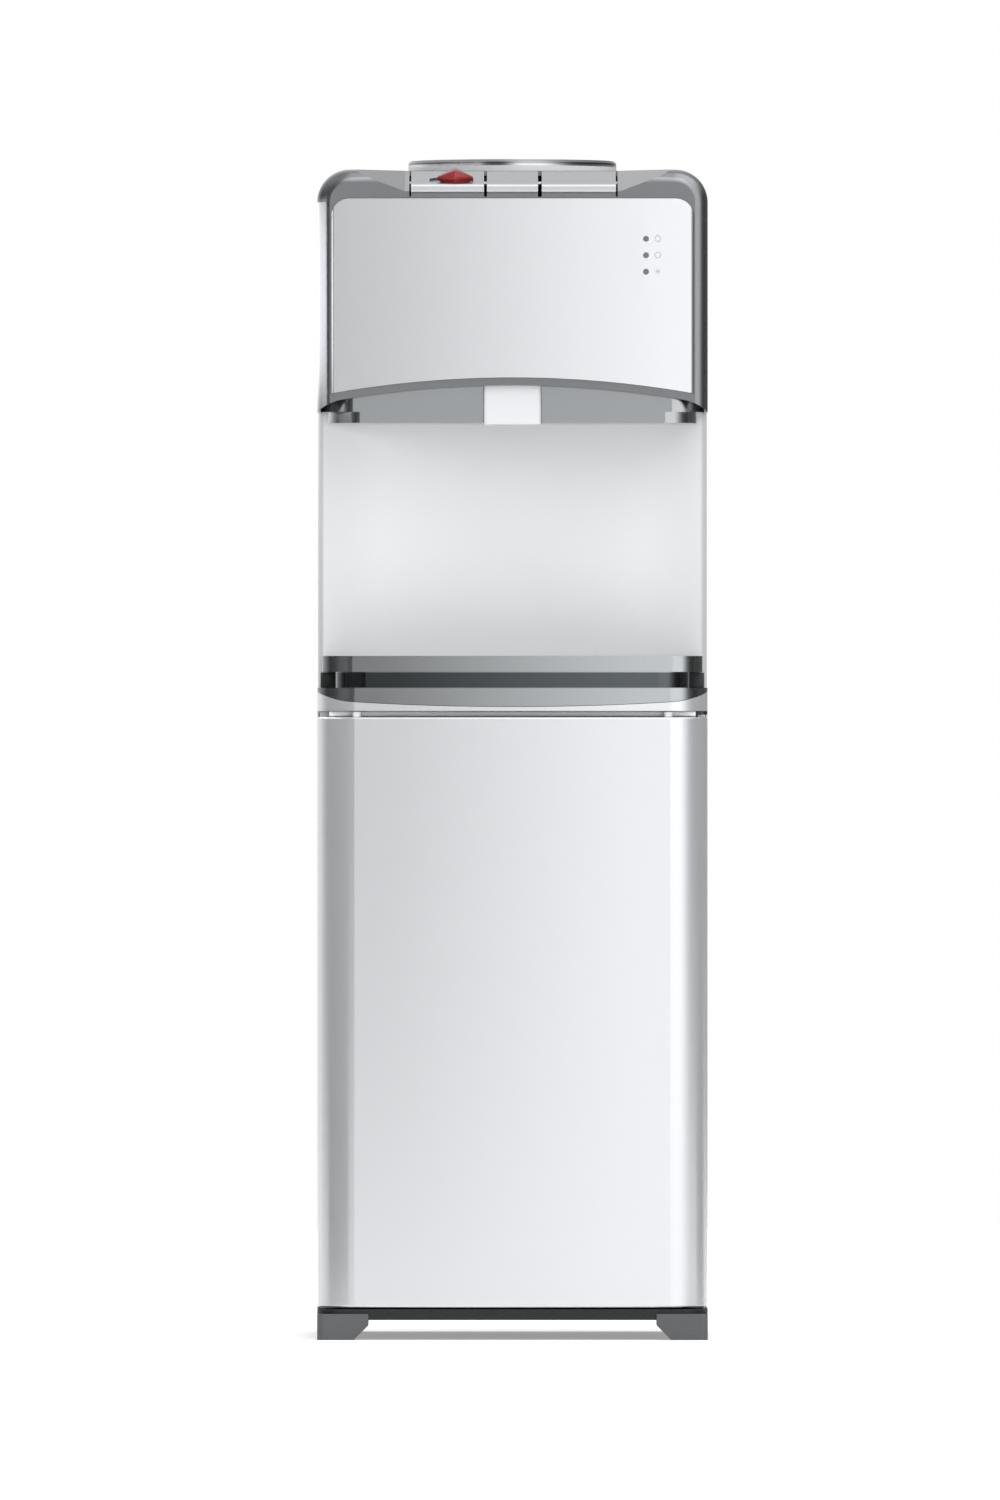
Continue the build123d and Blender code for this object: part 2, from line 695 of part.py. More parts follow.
def panel_outline(grow):
    """Front panel outline: arched bottom, rounded top corners, grown by grow."""
    half = HALF - PANEL_SIDE + grow
    end_z = HEAD_Z + PANEL_END_RISE - grow
    top_z = HEAD_TOP - PANEL_TOP_DROP + grow
    with BuildLine() as outline:
        ThreePointArc((-half, end_z), (0, HEAD_Z + PANEL_MID_RISE - grow), (half, end_z))
        Polyline((half, end_z), (half, top_z), (-half, top_z), (-half, end_z))
    make_face(outline.edges())
    fillet(vertices().group_by(Axis.Y)[-1], radius=PANEL_TOP_R + grow)


# Room inside the head shell, under the sloped key deck
with BuildPart() as head_room:
    with BuildSketch(xz(BACK - HEAD_WALL)):
        head_outline(HEAD_WALL)
    extrude(amount=BACK - HEAD_WALL - HEAD_FRONT - HEAD_FRONT_T)
    with BuildSketch(yz(-HALF)):
        polygon((HEAD_FRONT + HEAD_FRONT_T, SHELL_Z), (BACK - HEAD_WALL, SHELL_Z),
                (BACK - HEAD_WALL, HEAD_TOP - HEAD_WALL),
                (HEAD_FRONT + DECK_RUN + HEAD_FRONT_T, HEAD_TOP - HEAD_WALL),
                (HEAD_FRONT + HEAD_FRONT_T, HEAD_TOP - DECK_DROP - HEAD_WALL))
    extrude(amount=WIDTH, mode=Mode.INTERSECT)

# Head shell: grey moulding with the bezel, the arched lip, the key deck and the bottle opening
ROD_Y = HEAD_FRONT + DECK_RUN - ROD_BACK
ROD_Z = HEAD_TOP - ROD_DROP
RIM_Z = HEAD_TOP - PANEL_TOP_DROP + KEY_RIM
WINDOW_LEFT = HOT_KEY_X[0] - KEY_WINDOW_GAP
WINDOW_RIGHT = COLD_KEY_X[1] + KEY_WINDOW_GAP
LUG_HALF = BARREL_R + ROD_R
LUG_X = max(WINDOW_RIGHT, -WINDOW_LEFT) + TRIM_GAP
SWITCH_Z = HEAD_TOP - SWITCH_DROP
with BuildPart() as head_shell:
    with BuildSketch(xz(BACK)):
        head_outline(0)
    extrude(amount=BACK - HEAD_FRONT)
    fillet(head_shell.faces().sort_by(Axis.Y)[0].edges().sort_by(Axis.Z)[1:], radius=HEAD_EDGE_R)
    add(head_room.part, mode=Mode.SUBTRACT)
    for lug_x in (LUG_X, -LUG_X - ROD_LUG_T):
        with BuildSketch(yz(lug_x)):
            slab(ROD_Y - LUG_HALF, ROD_Y + LUG_HALF, ROD_Z - LUG_HALF, HEAD_TOP - HEAD_WALL / 2)
        extrude(amount=ROD_LUG_T)
    with BuildSketch(xz(HEAD_FRONT)):
        polygon((-DECK_END_X, HEAD_TOP), (DECK_END_X, HEAD_TOP),
                (DECK_FLOOR_X, HEAD_TOP - DECK_DROP), (-DECK_FLOOR_X, HEAD_TOP - DECK_DROP))
    extrude(amount=2 * DECK_RUN, dir=(0, DECK_RUN, DECK_DROP), mode=Mode.SUBTRACT)
    with BuildSketch(yz(WINDOW_LEFT)):
        slab(HEAD_FRONT, HEAD_FRONT + DECK_RUN + KEY_BACK_GAP, RIM_Z, HEAD_TOP)
    extrude(amount=WINDOW_RIGHT - WINDOW_LEFT, mode=Mode.SUBTRACT)
    with BuildSketch(yz(-LUG_X - ROD_LUG_T)):
        with Locations((ROD_Y, ROD_Z)):
            Circle(ROD_R + RUN_FIT)
    extrude(amount=2 * (LUG_X + ROD_LUG_T), mode=Mode.SUBTRACT)
    with BuildSketch(xz(HEAD_FRONT + HEAD_FRONT_T)):
        lip_face()
    extrude(amount=HEAD_FRONT_T, mode=Mode.SUBTRACT)
    with BuildSketch(xz(HEAD_FRONT + PANEL_SEAT)):
        panel_outline(TRIM_GAP)
    extrude(amount=PANEL_SEAT, mode=Mode.SUBTRACT)
    with BuildSketch(xz(HEAD_FRONT + HEAD_FRONT_T)):
        panel_outline(-PANEL_LEDGE)
    extrude(amount=HEAD_FRONT_T, mode=Mode.SUBTRACT)
    with BuildSketch(Plane.XY.offset(HEAD_TOP - HEAD_WALL)):
        with Locations((0, SEAT_Y)):
            Circle(FUNNEL_R + TRIM_GAP)
    extrude(amount=HEAD_WALL, mode=Mode.SUBTRACT)
    with BuildSketch(xz(BACK)):
        with Locations((SWITCH_X, SWITCH_Z)):
            Rectangle(SWITCH_PITCH + ROCKER_W + 2 * SWITCH_PLATE_T, ROCKER_H + 2 * SWITCH_PLATE_T)
    extrude(amount=HEAD_WALL, mode=Mode.SUBTRACT)
finish(head_shell, "head_shell")

BOARD_Y = HEAD_FRONT + HEAD_FRONT_T + BOARD_STANDOFF
BOARD_Z = HEAD_TOP - sum(LAMP_DROPS) / len(LAMP_DROPS)

# Front panel: bowed silver cover in the bezel, hollow behind, with three lamp holes
with BuildPart() as front_panel:
    with BuildSketch(xz(HEAD_FRONT + PANEL_SEAT)):
        panel_outline(0)
    extrude(amount=PANEL_SEAT + PANEL_PROUD + BOW)
    with BuildSketch(Plane.XY.offset(HEAD_Z)):
        bowed_plan(HALF - PANEL_SIDE, HEAD_FRONT - PANEL_PROUD - BOW, HEAD_FRONT + PANEL_SEAT, PANEL_SKIN)
    extrude(amount=HEAD_H, mode=Mode.INTERSECT)
    with BuildSketch(xz(HEAD_FRONT + PANEL_SEAT)):
        panel_outline(-PANEL_LEDGE - PANEL_SKIN)
    extrude(amount=PANEL_SEAT + PANEL_PROUD - PANEL_SKIN, mode=Mode.SUBTRACT)
    with BuildSketch(xz(HEAD_FRONT + PANEL_SEAT)):
        for drop in LAMP_DROPS:
            with Locations((LAMP_X, HEAD_TOP - drop)):
                Circle(LAMP_R + LAMP_FIT)
    extrude(amount=PANEL_SEAT + PANEL_PROUD + BOW, mode=Mode.SUBTRACT)
    with BuildSketch(xz(BOARD_Y)):
        with Locations((LAMP_X, BOARD_Z)):
            with GridLocations(BOARD_W, BOARD_H - 2 * BOSS_R, 1, 2):
                Circle(BOSS_R)
    extrude(amount=BOARD_Y - HEAD_FRONT + PANEL_PROUD)
finish(front_panel, "front_panel")

# Control board behind the front panel's bosses
with BuildPart() as control_board:
    with BuildSketch(xz(BOARD_Y + BOARD_T)):
        with Locations((LAMP_X, BOARD_Z)):
            Rectangle(BOARD_W, BOARD_H)
    extrude(amount=BOARD_T)
finish(control_board, "control_board")

# Indicator lamps: clear rods from the board to the face of the panel
panel_half = HALF - PANEL_SIDE
lamp_front = HEAD_FRONT - PANEL_PROUD - BOW * (1 - (LAMP_X / panel_half) ** 2) - LAMP_PROUD
with BuildPart() as indicator_lamps:
    with BuildSketch(xz(BOARD_Y)):
        for drop in LAMP_DROPS:
            with Locations((LAMP_X, HEAD_TOP - drop)):
                Circle(LAMP_R)
    extrude(amount=BOARD_Y - lamp_front)
finish(indicator_lamps, "indicator_lamps")

# Keys: sloped levers on one rod, the hot one with a slot for its child lock
NOSE_Z = HEAD_TOP - DECK_DROP + KEY_NOSE_LIFT
NOSE_TOP = NOSE_Z + KEY_NOSE_H
KEY_FRONT = HEAD_FRONT - KEY_NOSE_Y
KEY_BACK = HEAD_FRONT + DECK_RUN
KEY_TOP = HEAD_TOP - TRIM_GAP
key_slope = (KEY_TOP - NOSE_TOP) / (KEY_BACK - KEY_FRONT)
skirt_y = HEAD_FRONT + HEAD_FRONT_T + KEY_SKIRT_GAP
lock_y = KEY_FRONT + LOCK_BACK
LOCK_PLANE = Plane(origin=(LOCK_X, lock_y, NOSE_TOP + key_slope * LOCK_BACK), x_dir=(1, 0, 0),
                   z_dir=(0, -key_slope, 1))
for (key_left, key_right), name in ((HOT_KEY_X, "hot_key"), (NORMAL_KEY_X, "normal_key"),
                                    (COLD_KEY_X, "cold_key")):
    with BuildPart() as key:
        with BuildSketch(yz(key_left)):
            polygon((KEY_FRONT, NOSE_Z), (KEY_FRONT, NOSE_TOP), (KEY_BACK, KEY_TOP), (KEY_BACK, NOSE_Z))
            slab(skirt_y, skirt_y + KEY_SKIRT_T, NOSE_Z - KEY_SKIRT_DROP, NOSE_TOP)
        extrude(amount=key_right - key_left)
        fillet(key.edges().filter_by(Axis.X).group_by(Axis.Y)[0], radius=KEY_NOSE_R)
        with BuildSketch(yz(key_left)):
            with Locations((ROD_Y, ROD_Z)):
                Circle(ROD_R + RUN_FIT)
        extrude(amount=key_right - key_left, mode=Mode.SUBTRACT)
        if name == "hot_key":
            with BuildSketch(LOCK_PLANE):
                with Locations((-LOCK_TRAVEL / 2, 0)):
                    RectangleRounded(LOCK_W + LOCK_TRAVEL + 2 * LOCK_GAP, LOCK_L + 2 * LOCK_GAP, LOCK_L / 3)
            extrude(amount=-LOCK_SEAT, mode=Mode.SUBTRACT)
    finish(key, name)

# Child lock: red domed slider in the hot key's slot
with BuildPart() as child_lock:
    with BuildSketch(LOCK_PLANE.offset(LOCK_LIFT - LOCK_SEAT)):
        RectangleRounded(LOCK_W, LOCK_L, LOCK_L / 3)
    extrude(amount=LOCK_SEAT + 2 * LOCK_H)
    with BuildSketch(Plane(origin=LOCK_PLANE.origin, x_dir=(1, 0, 0), z_dir=(0, -1, -key_slope))):
        with BuildLine():
            ThreePointArc((-LOCK_W / 2, LOCK_RIM), (0, LOCK_H), (LOCK_W / 2, LOCK_RIM))
            Polyline((LOCK_W / 2, LOCK_RIM), (LOCK_W / 2, -2 * LOCK_SEAT), (-LOCK_W / 2, -2 * LOCK_SEAT),
                     (-LOCK_W / 2, LOCK_RIM))
        make_face()
    extrude(amount=LOCK_L, both=True, mode=Mode.INTERSECT)
    fillet(child_lock.faces().sort_by(Axis.Z)[-1].edges(), radius=LOCK_EDGE_R)
finish(child_lock, "child_lock")

# Key pivot rod: one steel rod held by two lugs of the head shell
with BuildPart() as key_pivot_rod:
    with BuildSketch(yz(-LUG_X - ROD_LUG_T)):
        with Locations((ROD_Y, ROD_Z)):
            Circle(ROD_R)
    extrude(amount=2 * (LUG_X + ROD_LUG_T))
finish(key_pivot_rod, "key_pivot_rod")

# Underbody: grey tub that closes the head from below, notched for the spout
UNDER_FRONT = HEAD_FRONT + UNDER_SETBACK
UNDER_BACK = SPLASH_Y - TRIM_GAP
UNDER_TOP = HEAD_Z + UNDER_H
SPOUT_FRONT = UNDER_FRONT - SPOUT_PROUD
SPOUT_BACK = SPOUT_FRONT + SPOUT_L
with BuildPart() as underbody:
    with BuildSketch(Plane.XY.offset(HEAD_Z)):
        front_rounded(HALF - UNDER_INSET, UNDER_FRONT, UNDER_BACK, UNDER_R)
    extrude(amount=UNDER_H)
    with BuildSketch(Plane.XY.offset(SHELL_Z)):
        front_rounded(HALF - HEAD_WALL - TRIM_GAP, UNDER_FRONT, UNDER_BACK, UNDER_R)
    extrude(amount=UNDER_TOP - SHELL_Z)
    with BuildSketch(Plane.XY.offset(UNDER_TOP - UNDER_FLANGE_T)):
        slab(-HALF + HEAD_WALL, HALF - HEAD_WALL, UNDER_BACK - UNDER_FLANGE_L, UNDER_BACK)
    extrude(amount=UNDER_FLANGE_T)
    with BuildSketch(Plane.XY.offset(HEAD_Z + UNDER_WALL)):
        front_rounded(HALF - UNDER_INSET - UNDER_WALL, UNDER_FRONT + UNDER_WALL,
                      UNDER_BACK - UNDER_WALL, UNDER_R - UNDER_WALL)
    extrude(amount=UNDER_H, mode=Mode.SUBTRACT)
    with BuildSketch(Plane.XY.offset(HEAD_Z)):
        slab(-SPOUT_W / 2 - TRIM_GAP, SPOUT_W / 2 + TRIM_GAP, UNDER_FRONT, SPOUT_BACK + TRIM_GAP)
    extrude(amount=UNDER_H, mode=Mode.SUBTRACT)
finish(underbody, "underbody")

# Spout block: white hollow housing round the outlet, hung from the manifold
VALVE_LINE_Y = HEAD_FRONT + VALVE_SETBACK
SPOUT_Z = HEAD_Z - SPOUT_DROP
with BuildPart() as spout_block:
    with BuildSketch(Plane.XY.offset(SPOUT_Z)):
        slab(-SPOUT_W / 2, SPOUT_W / 2, SPOUT_FRONT, SPOUT_BACK)
    extrude(amount=UNDER_H + SPOUT_DROP)
    fillet(spout_block.edges().filter_by(Axis.Z).group_by(Axis.Y)[0], radius=SPOUT_WALL)
    with BuildSketch(Plane.XY.offset(SPOUT_Z + SPOUT_WALL)):
        slab(-SPOUT_W / 2 + SPOUT_WALL, SPOUT_W / 2 - SPOUT_WALL,
             SPOUT_FRONT + SPOUT_WALL, SPOUT_BACK - SPOUT_WALL)
    extrude(amount=UNDER_H, mode=Mode.SUBTRACT)
    with BuildSketch(Plane.XY.offset(SPOUT_Z)):
        with Locations((0, VALVE_LINE_Y)):
            Circle(NOZZLE_R + TRIM_GAP)
    extrude(amount=SPOUT_WALL, mode=Mode.SUBTRACT)
finish(spout_block, "spout_block")

# Spout nozzle: outlet pipe from the manifold down through the spout block
with BuildPart() as spout_nozzle:
    with BuildSketch(Plane.XY.offset(SPOUT_Z)):
        with Locations((0, VALVE_LINE_Y)):
            Circle(NOZZLE_R)
            Circle(NOZZLE_R - NOZZLE_WALL, mode=Mode.SUBTRACT)
    extrude(amount=UNDER_H + SPOUT_DROP)
finish(spout_nozzle, "spout_nozzle")

# Valve manifold: block across the underbody that carries the three valves
hot_x, normal_x, cold_x = [sum(span) / 2 for span in (HOT_KEY_X, NORMAL_KEY_X, COLD_KEY_X)]
MANIFOLD_TOP = UNDER_TOP + MANIFOLD_H
with BuildPart() as valve_manifold:
    with BuildSketch(Plane.XY.offset(UNDER_TOP)):
        slab(hot_x - VALVE_R - MANIFOLD_END, cold_x + VALVE_R + MANIFOLD_END,
             VALVE_LINE_Y - MANIFOLD_L / 2, VALVE_LINE_Y + MANIFOLD_L / 2)
    extrude(amount=MANIFOLD_H)
finish(valve_manifold, "valve_manifold")

# Valves and their plungers, one under each key
NECK_TOP = NOSE_Z - PLUNGER_STAND
VALVE_SPOTS = [(valve_x, VALVE_LINE_Y) for valve_x in (hot_x, normal_x, cold_x)]
with BuildPart() as valves:
    with BuildSketch(Plane.XY.offset(MANIFOLD_TOP)):
        with Locations(*VALVE_SPOTS):
            Circle(VALVE_R)
    extrude(amount=NECK_TOP - VALVE_NECK_H - MANIFOLD_TOP)
    with BuildSketch(Plane.XY.offset(NECK_TOP - VALVE_NECK_H)):
        with Locations(*VALVE_SPOTS):
            Circle(VALVE_NECK_R)
    extrude(amount=VALVE_NECK_H)
    with BuildSketch(Plane.XY.offset(NECK_TOP - PLUNGER_DEPTH - PLUNGER_ROOM)):
        with Locations(*VALVE_SPOTS):
            Circle(PLUNGER_R + RUN_FIT)
    extrude(amount=PLUNGER_DEPTH + PLUNGER_ROOM, mode=Mode.SUBTRACT)
finish(valves, "valves")
for (valve_x, valve_y), name in zip(VALVE_SPOTS, ("hot_plunger", "normal_plunger", "cold_plunger")):
    with BuildPart() as plunger:
        with BuildSketch(Plane.XY.offset(NECK_TOP - PLUNGER_DEPTH)):
            with Locations((valve_x, valve_y)):
                Circle(PLUNGER_R)
        extrude(amount=PLUNGER_DEPTH + PLUNGER_STAND - PLUNGER_GAP)
        with BuildSketch(Plane.XY.offset(NOSE_Z - PLUNGER_GAP - PLUNGER_HEAD_H)):
            with Locations((valve_x, valve_y)):
                Circle(PLUNGER_HEAD_R)
        extrude(amount=PLUNGER_HEAD_H)
    finish(plunger, name)


def upright_at(x, y):
    """Upright plane through a vertical axis, for profiles given as radius and height."""
    return Plane(origin=(x, y, 0), x_dir=(1, 0, 0), z_dir=(0, -1, 0))


# Collar seat: light flange and funnel that the bottle stands on
SEAT_AXIS = Axis((0, SEAT_Y, 0), (0, 0, 1))
SEAT_TOP = HEAD_TOP + SEAT_FLANGE_H
CONE_TOP = HEAD_TOP - FUNNEL_RIM_DEPTH
CONE_Z = CONE_TOP - FUNNEL_CONE_H
NECK_Z = CONE_Z - FUNNEL_NECK_H
with BuildPart() as collar_seat:
    with BuildSketch(upright_at(0, SEAT_Y)):
        polygon((SEAT_R, HEAD_TOP), (SEAT_R, SEAT_TOP), (FUNNEL_R - FUNNEL_WALL, SEAT_TOP),
                (FUNNEL_R - FUNNEL_WALL, CONE_TOP), (FUNNEL_NECK_R, CONE_Z), (FUNNEL_NECK_R, NECK_Z),
                (FUNNEL_NECK_R + FUNNEL_WALL, NECK_Z), (FUNNEL_NECK_R + FUNNEL_WALL, CONE_Z),
                (FUNNEL_R, CONE_TOP), (FUNNEL_R, HEAD_TOP))
    revolve(axis=SEAT_AXIS)
finish(collar_seat, "collar_seat")

# Bottle collar: dark ring on the flange that steadies the bottle's shoulder
with BuildPart() as bottle_collar:
    with BuildSketch(upright_at(0, SEAT_Y)):
        polygon((SEAT_R, SEAT_TOP), (SEAT_R, SEAT_TOP + COLLAR_H - COLLAR_LIP),
                (SEAT_R - COLLAR_LIP, SEAT_TOP + COLLAR_H), (SEAT_R - COLLAR_W, SEAT_TOP + COLLAR_H),
                (SEAT_R - COLLAR_W, SEAT_TOP))
    revolve(axis=SEAT_AXIS)
finish(bottle_collar, "bottle_collar")

# Feed probe: hollow spike on a drilled disc in the funnel's neck
with BuildPart() as feed_probe:
    with BuildSketch(Plane.XY.offset(NECK_Z)):
        with Locations((0, SEAT_Y)):
            Circle(FUNNEL_NECK_R - RUN_FIT)
            with PolarLocations((PROBE_R + FUNNEL_NECK_R) / 2, PROBE_HOLES):
                Circle(PROBE_HOLE_R, mode=Mode.SUBTRACT)
    extrude(amount=PROBE_WEB_T)
    with BuildSketch(Plane.XY.offset(NECK_Z)):
        with Locations((0, SEAT_Y)):
            Circle(PROBE_R)
    extrude(amount=PROBE_H)
    chamfer(feed_probe.faces().sort_by(Axis.Z)[-1].edges(), length=PROBE_R - PROBE_BORE_R)
    with BuildSketch(Plane.XY.offset(NECK_Z)):
        with Locations((0, SEAT_Y)):
            Circle(PROBE_BORE_R - RUN_FIT)
    extrude(amount=PROBE_H, mode=Mode.SUBTRACT)
finish(feed_probe, "feed_probe")

# Cold tank: steel pot under the funnel
FOAM_TOP = NECK_Z + FUNNEL_NECK_H / 2
TANK_TOP = FOAM_TOP - COLD_LID
TANK_Z = SHELL_Z + COLD_FOAM
NECK_HOLE_R = FUNNEL_NECK_R + FUNNEL_WALL + TRIM_GAP
TUBE_Z = UNDER_TOP + MANIFOLD_H / 2
MANIFOLD_BACK = VALVE_LINE_Y + MANIFOLD_L / 2
COIL_Z = TANK_TOP - COIL_DROP - COIL_H
SUCTION_Z = COIL_Z + COIL_H / 2
JACKET_R = COLD_R + COIL_T + RUN_FIT
FOAM_R = JACKET_R + COLD_FOAM
with BuildPart() as cold_tank:
    with BuildSketch(upright_at(0, SEAT_Y)):
        polygon((0, TANK_Z), (COLD_R, TANK_Z), (COLD_R, TANK_TOP), (NECK_HOLE_R, TANK_TOP),
                (NECK_HOLE_R, TANK_TOP - COLD_WALL), (COLD_R - COLD_WALL, TANK_TOP - COLD_WALL),
                (COLD_R - COLD_WALL, TANK_Z + COLD_WALL), (0, TANK_Z + COLD_WALL))
    revolve(axis=SEAT_AXIS)
finish(cold_tank, "cold_tank")

# Evaporator: coil of tube round the cold tank, as the sleeve it fills
with BuildPart() as evaporator:
    with BuildSketch(Plane.XY.offset(COIL_Z)):
        with Locations((0, SEAT_Y)):
            Circle(COLD_R + COIL_T)
            Circle(COLD_R + RUN_FIT, mode=Mode.SUBTRACT)
    extrude(amount=COIL_H)
finish(evaporator, "evaporator")

# Cold tank jacket: foam pot with a lid, drilled for two water tubes and the suction pipe
with BuildPart() as cold_jacket:
    with BuildSketch(upright_at(0, SEAT_Y)):
        polygon((0, SHELL_Z), (FOAM_R, SHELL_Z), (FOAM_R, FOAM_TOP), (NECK_HOLE_R, FOAM_TOP),
                (NECK_HOLE_R, TANK_TOP), (JACKET_R, TANK_TOP), (JACKET_R, TANK_Z), (0, TANK_Z))
    revolve(axis=SEAT_AXIS)
    with BuildSketch(xz(SEAT_Y)):
        for tube_x in (normal_x, cold_x):
            with Locations((tube_x, TUBE_Z)):
                Circle(TUBE_R + RUN_FIT)
    extrude(amount=2 * FOAM_R, mode=Mode.SUBTRACT)
    with BuildSketch(xz(SEAT_Y)):
        with Locations((SUCTION_X, SUCTION_Z)):
            Circle(PIPE_R + RUN_FIT)
    extrude(amount=-2 * FOAM_R, mode=Mode.SUBTRACT)
finish(cold_jacket, "cold_jacket")

# Hot tank: steel pot on its foam floor in the column
HOT_AXIS = Axis((HOT_X, HOT_Y, 0), (0, 0, 1))
HOT_Z = STOREY_Z + HOT_FOAM_FLOOR
HOT_TOP = HOT_Z + HOT_H
HOT_ROOM_R = HOT_R + HEATER_T + RUN_FIT
with BuildPart() as hot_tank:
    with BuildSketch(upright_at(HOT_X, HOT_Y)):
        polygon((0, HOT_Z), (HOT_R, HOT_Z), (HOT_R, HOT_TOP), (0, HOT_TOP), (0, HOT_TOP - HOT_WALL),
                (HOT_R - HOT_WALL, HOT_TOP - HOT_WALL), (HOT_R - HOT_WALL, HOT_Z + HOT_WALL),
                (0, HOT_Z + HOT_WALL))
    revolve(axis=HOT_AXIS)
finish(hot_tank, "hot_tank")

# Band heater clamped round the hot tank
with BuildPart() as band_heater:
    with BuildSketch(Plane.XY.offset(HOT_Z + HEATER_H / 2)):
        with Locations((HOT_X, HOT_Y)):
            Circle(HOT_R + HEATER_T)
            Circle(HOT_R + RUN_FIT, mode=Mode.SUBTRACT)
    extrude(amount=HEATER_H)
finish(band_heater, "band_heater")

# Thermostats: two discs on the hot tank's lid
with BuildPart() as thermostats:
    with BuildSketch(Plane.XY.offset(HOT_TOP)):
        with Locations((HOT_X, HOT_Y)):
            with GridLocations(1, 3 * STAT_R, 1, 2):
                Circle(STAT_R)
    extrude(amount=STAT_H)
finish(thermostats, "thermostats")

# Hot tank jacket: foam pot with a lid
HOT_LID = HOT_TOP + STAT_H + TRIM_GAP
HOT_FOAM_TOP = HOT_LID + HOT_FOAM_FLOOR / 2
with BuildPart() as hot_jacket:
    with BuildSketch(upright_at(HOT_X, HOT_Y)):
        polygon((0, STOREY_Z), (HOT_ROOM_R + HOT_FOAM, STOREY_Z), (HOT_ROOM_R + HOT_FOAM, HOT_FOAM_TOP),
                (0, HOT_FOAM_TOP), (0, HOT_LID), (HOT_ROOM_R, HOT_LID), (HOT_ROOM_R, HOT_Z), (0, HOT_Z))
    revolve(axis=HOT_AXIS)
finish(hot_jacket, "hot_jacket")


def tube_along(points, bend_r, radius, bore_r=0):
    """Round tube along straight runs joined by arcs."""
    with BuildLine() as route:
        FilletPolyline(*points, radius=bend_r)
    with BuildSketch(Plane(origin=route.wires()[0] @ 0, z_dir=route.wires()[0] % 0)) as section:
        Circle(radius)
        if bore_r:
            Circle(bore_r, mode=Mode.SUBTRACT)
    sweep(sections=section.sketch, path=route.wires()[0])


# Water tubes: two straight from the cold tank to the manifold, one from the hot tank up the column
tube_y = (SPLASH_Y + SPLASH_T + COLUMN_FRONT) / 2
with BuildPart() as water_tubes:
    for tube_x in (normal_x, cold_x):
        tube_start = SEAT_Y - (COLD_R ** 2 - tube_x ** 2) ** 0.5 - TRIM_GAP - TUBE_R
        with BuildSketch(xz(tube_start)):
            with Locations((tube_x, TUBE_Z)):
                Circle(TUBE_R)
                Circle(TUBE_BORE_R, mode=Mode.SUBTRACT)
        extrude(amount=tube_start - MANIFOLD_BACK)
    tube_along([(HOT_TUBE_X, HOT_Y, HOT_FOAM_TOP), (HOT_TUBE_X, HOT_Y, HOT_FOAM_TOP + HOT_TUBE_RISE),
                (HOT_TUBE_X, tube_y, HOT_FOAM_TOP + HOT_TUBE_RISE), (HOT_TUBE_X, tube_y, TUBE_Z),
                (hot_x, (tube_y + MANIFOLD_BACK) / 2, TUBE_Z), (hot_x, MANIFOLD_BACK, TUBE_Z)],
               TUBE_BEND_R, TUBE_R, TUBE_BORE_R)
finish(water_tubes, "water_tubes")

# Compressor: welded steel pot at the back of the base
COMP_Y = BACK - COMP_BACK_GAP - COMP_R
PLATE_Z = BASE_TOP + GROMMET_H
COMP_Z = PLATE_Z + FOOT_PLATE_T
COMP_TOP = COMP_Z + COMP_H
with BuildPart() as compressor:
    with BuildSketch(Plane.XY.offset(COMP_Z)):
        with Locations((COMP_X, COMP_Y)):
            Circle(COMP_R)
    extrude(amount=COMP_H)
    fillet(compressor.faces().sort_by(Axis.Z)[-1].edges(), radius=COMP_DOME_R)
    with BuildSketch(Plane.XY.offset(COMP_Z + (COMP_H - COMP_SEAM_H) / 2)):
        with Locations((COMP_X, COMP_Y)):
            Circle(COMP_R + COMP_SEAM_T)
    extrude(amount=COMP_SEAM_H)
    with BuildSketch(Plane.XY.offset(COMP_Z)):
        with Locations((COMP_X, COMP_Y)):
            Circle(COMP_R - COMP_WALL)
    extrude(amount=COMP_H - COMP_DOME_R, mode=Mode.SUBTRACT)
finish(compressor, "compressor")

# Compressor plate and the four rubber grommets that it stands on
with BuildPart() as compressor_plate:
    with BuildSketch(Plane.XY.offset(PLATE_Z)):
        with Locations((COMP_X, COMP_Y)):
            RectangleRounded(FOOT_PLATE_W, FOOT_PLATE_L, GROMMET_INSET)
    extrude(amount=FOOT_PLATE_T)
finish(compressor_plate, "compressor_plate")
with BuildPart() as grommets:
    with BuildSketch(Plane.XY.offset(BASE_TOP)):
        with Locations((COMP_X, COMP_Y)):
            with GridLocations(FOOT_PLATE_W - 2 * GROMMET_INSET, FOOT_PLATE_L - 2 * GROMMET_INSET, 2, 2):
                Circle(GROMMET_R)
    extrude(amount=GROMMET_H)
finish(grommets, "grommets")

# Start relay box on the compressor's side
with BuildPart() as relay_box:
    with BuildSketch(Plane.XY.offset(COMP_Z + RELAY_RISE)):
        slab(COMP_X + COMP_R, COMP_X + COMP_R + RELAY_W, COMP_Y - RELAY_L / 2, COMP_Y + RELAY_L / 2)
    extrude(amount=RELAY_H)
    fillet(relay_box.edges().filter_by(Axis.Z).group_by(Axis.X)[-1], radius=GROMMET_STEM_R)
finish(relay_box, "relay_box")

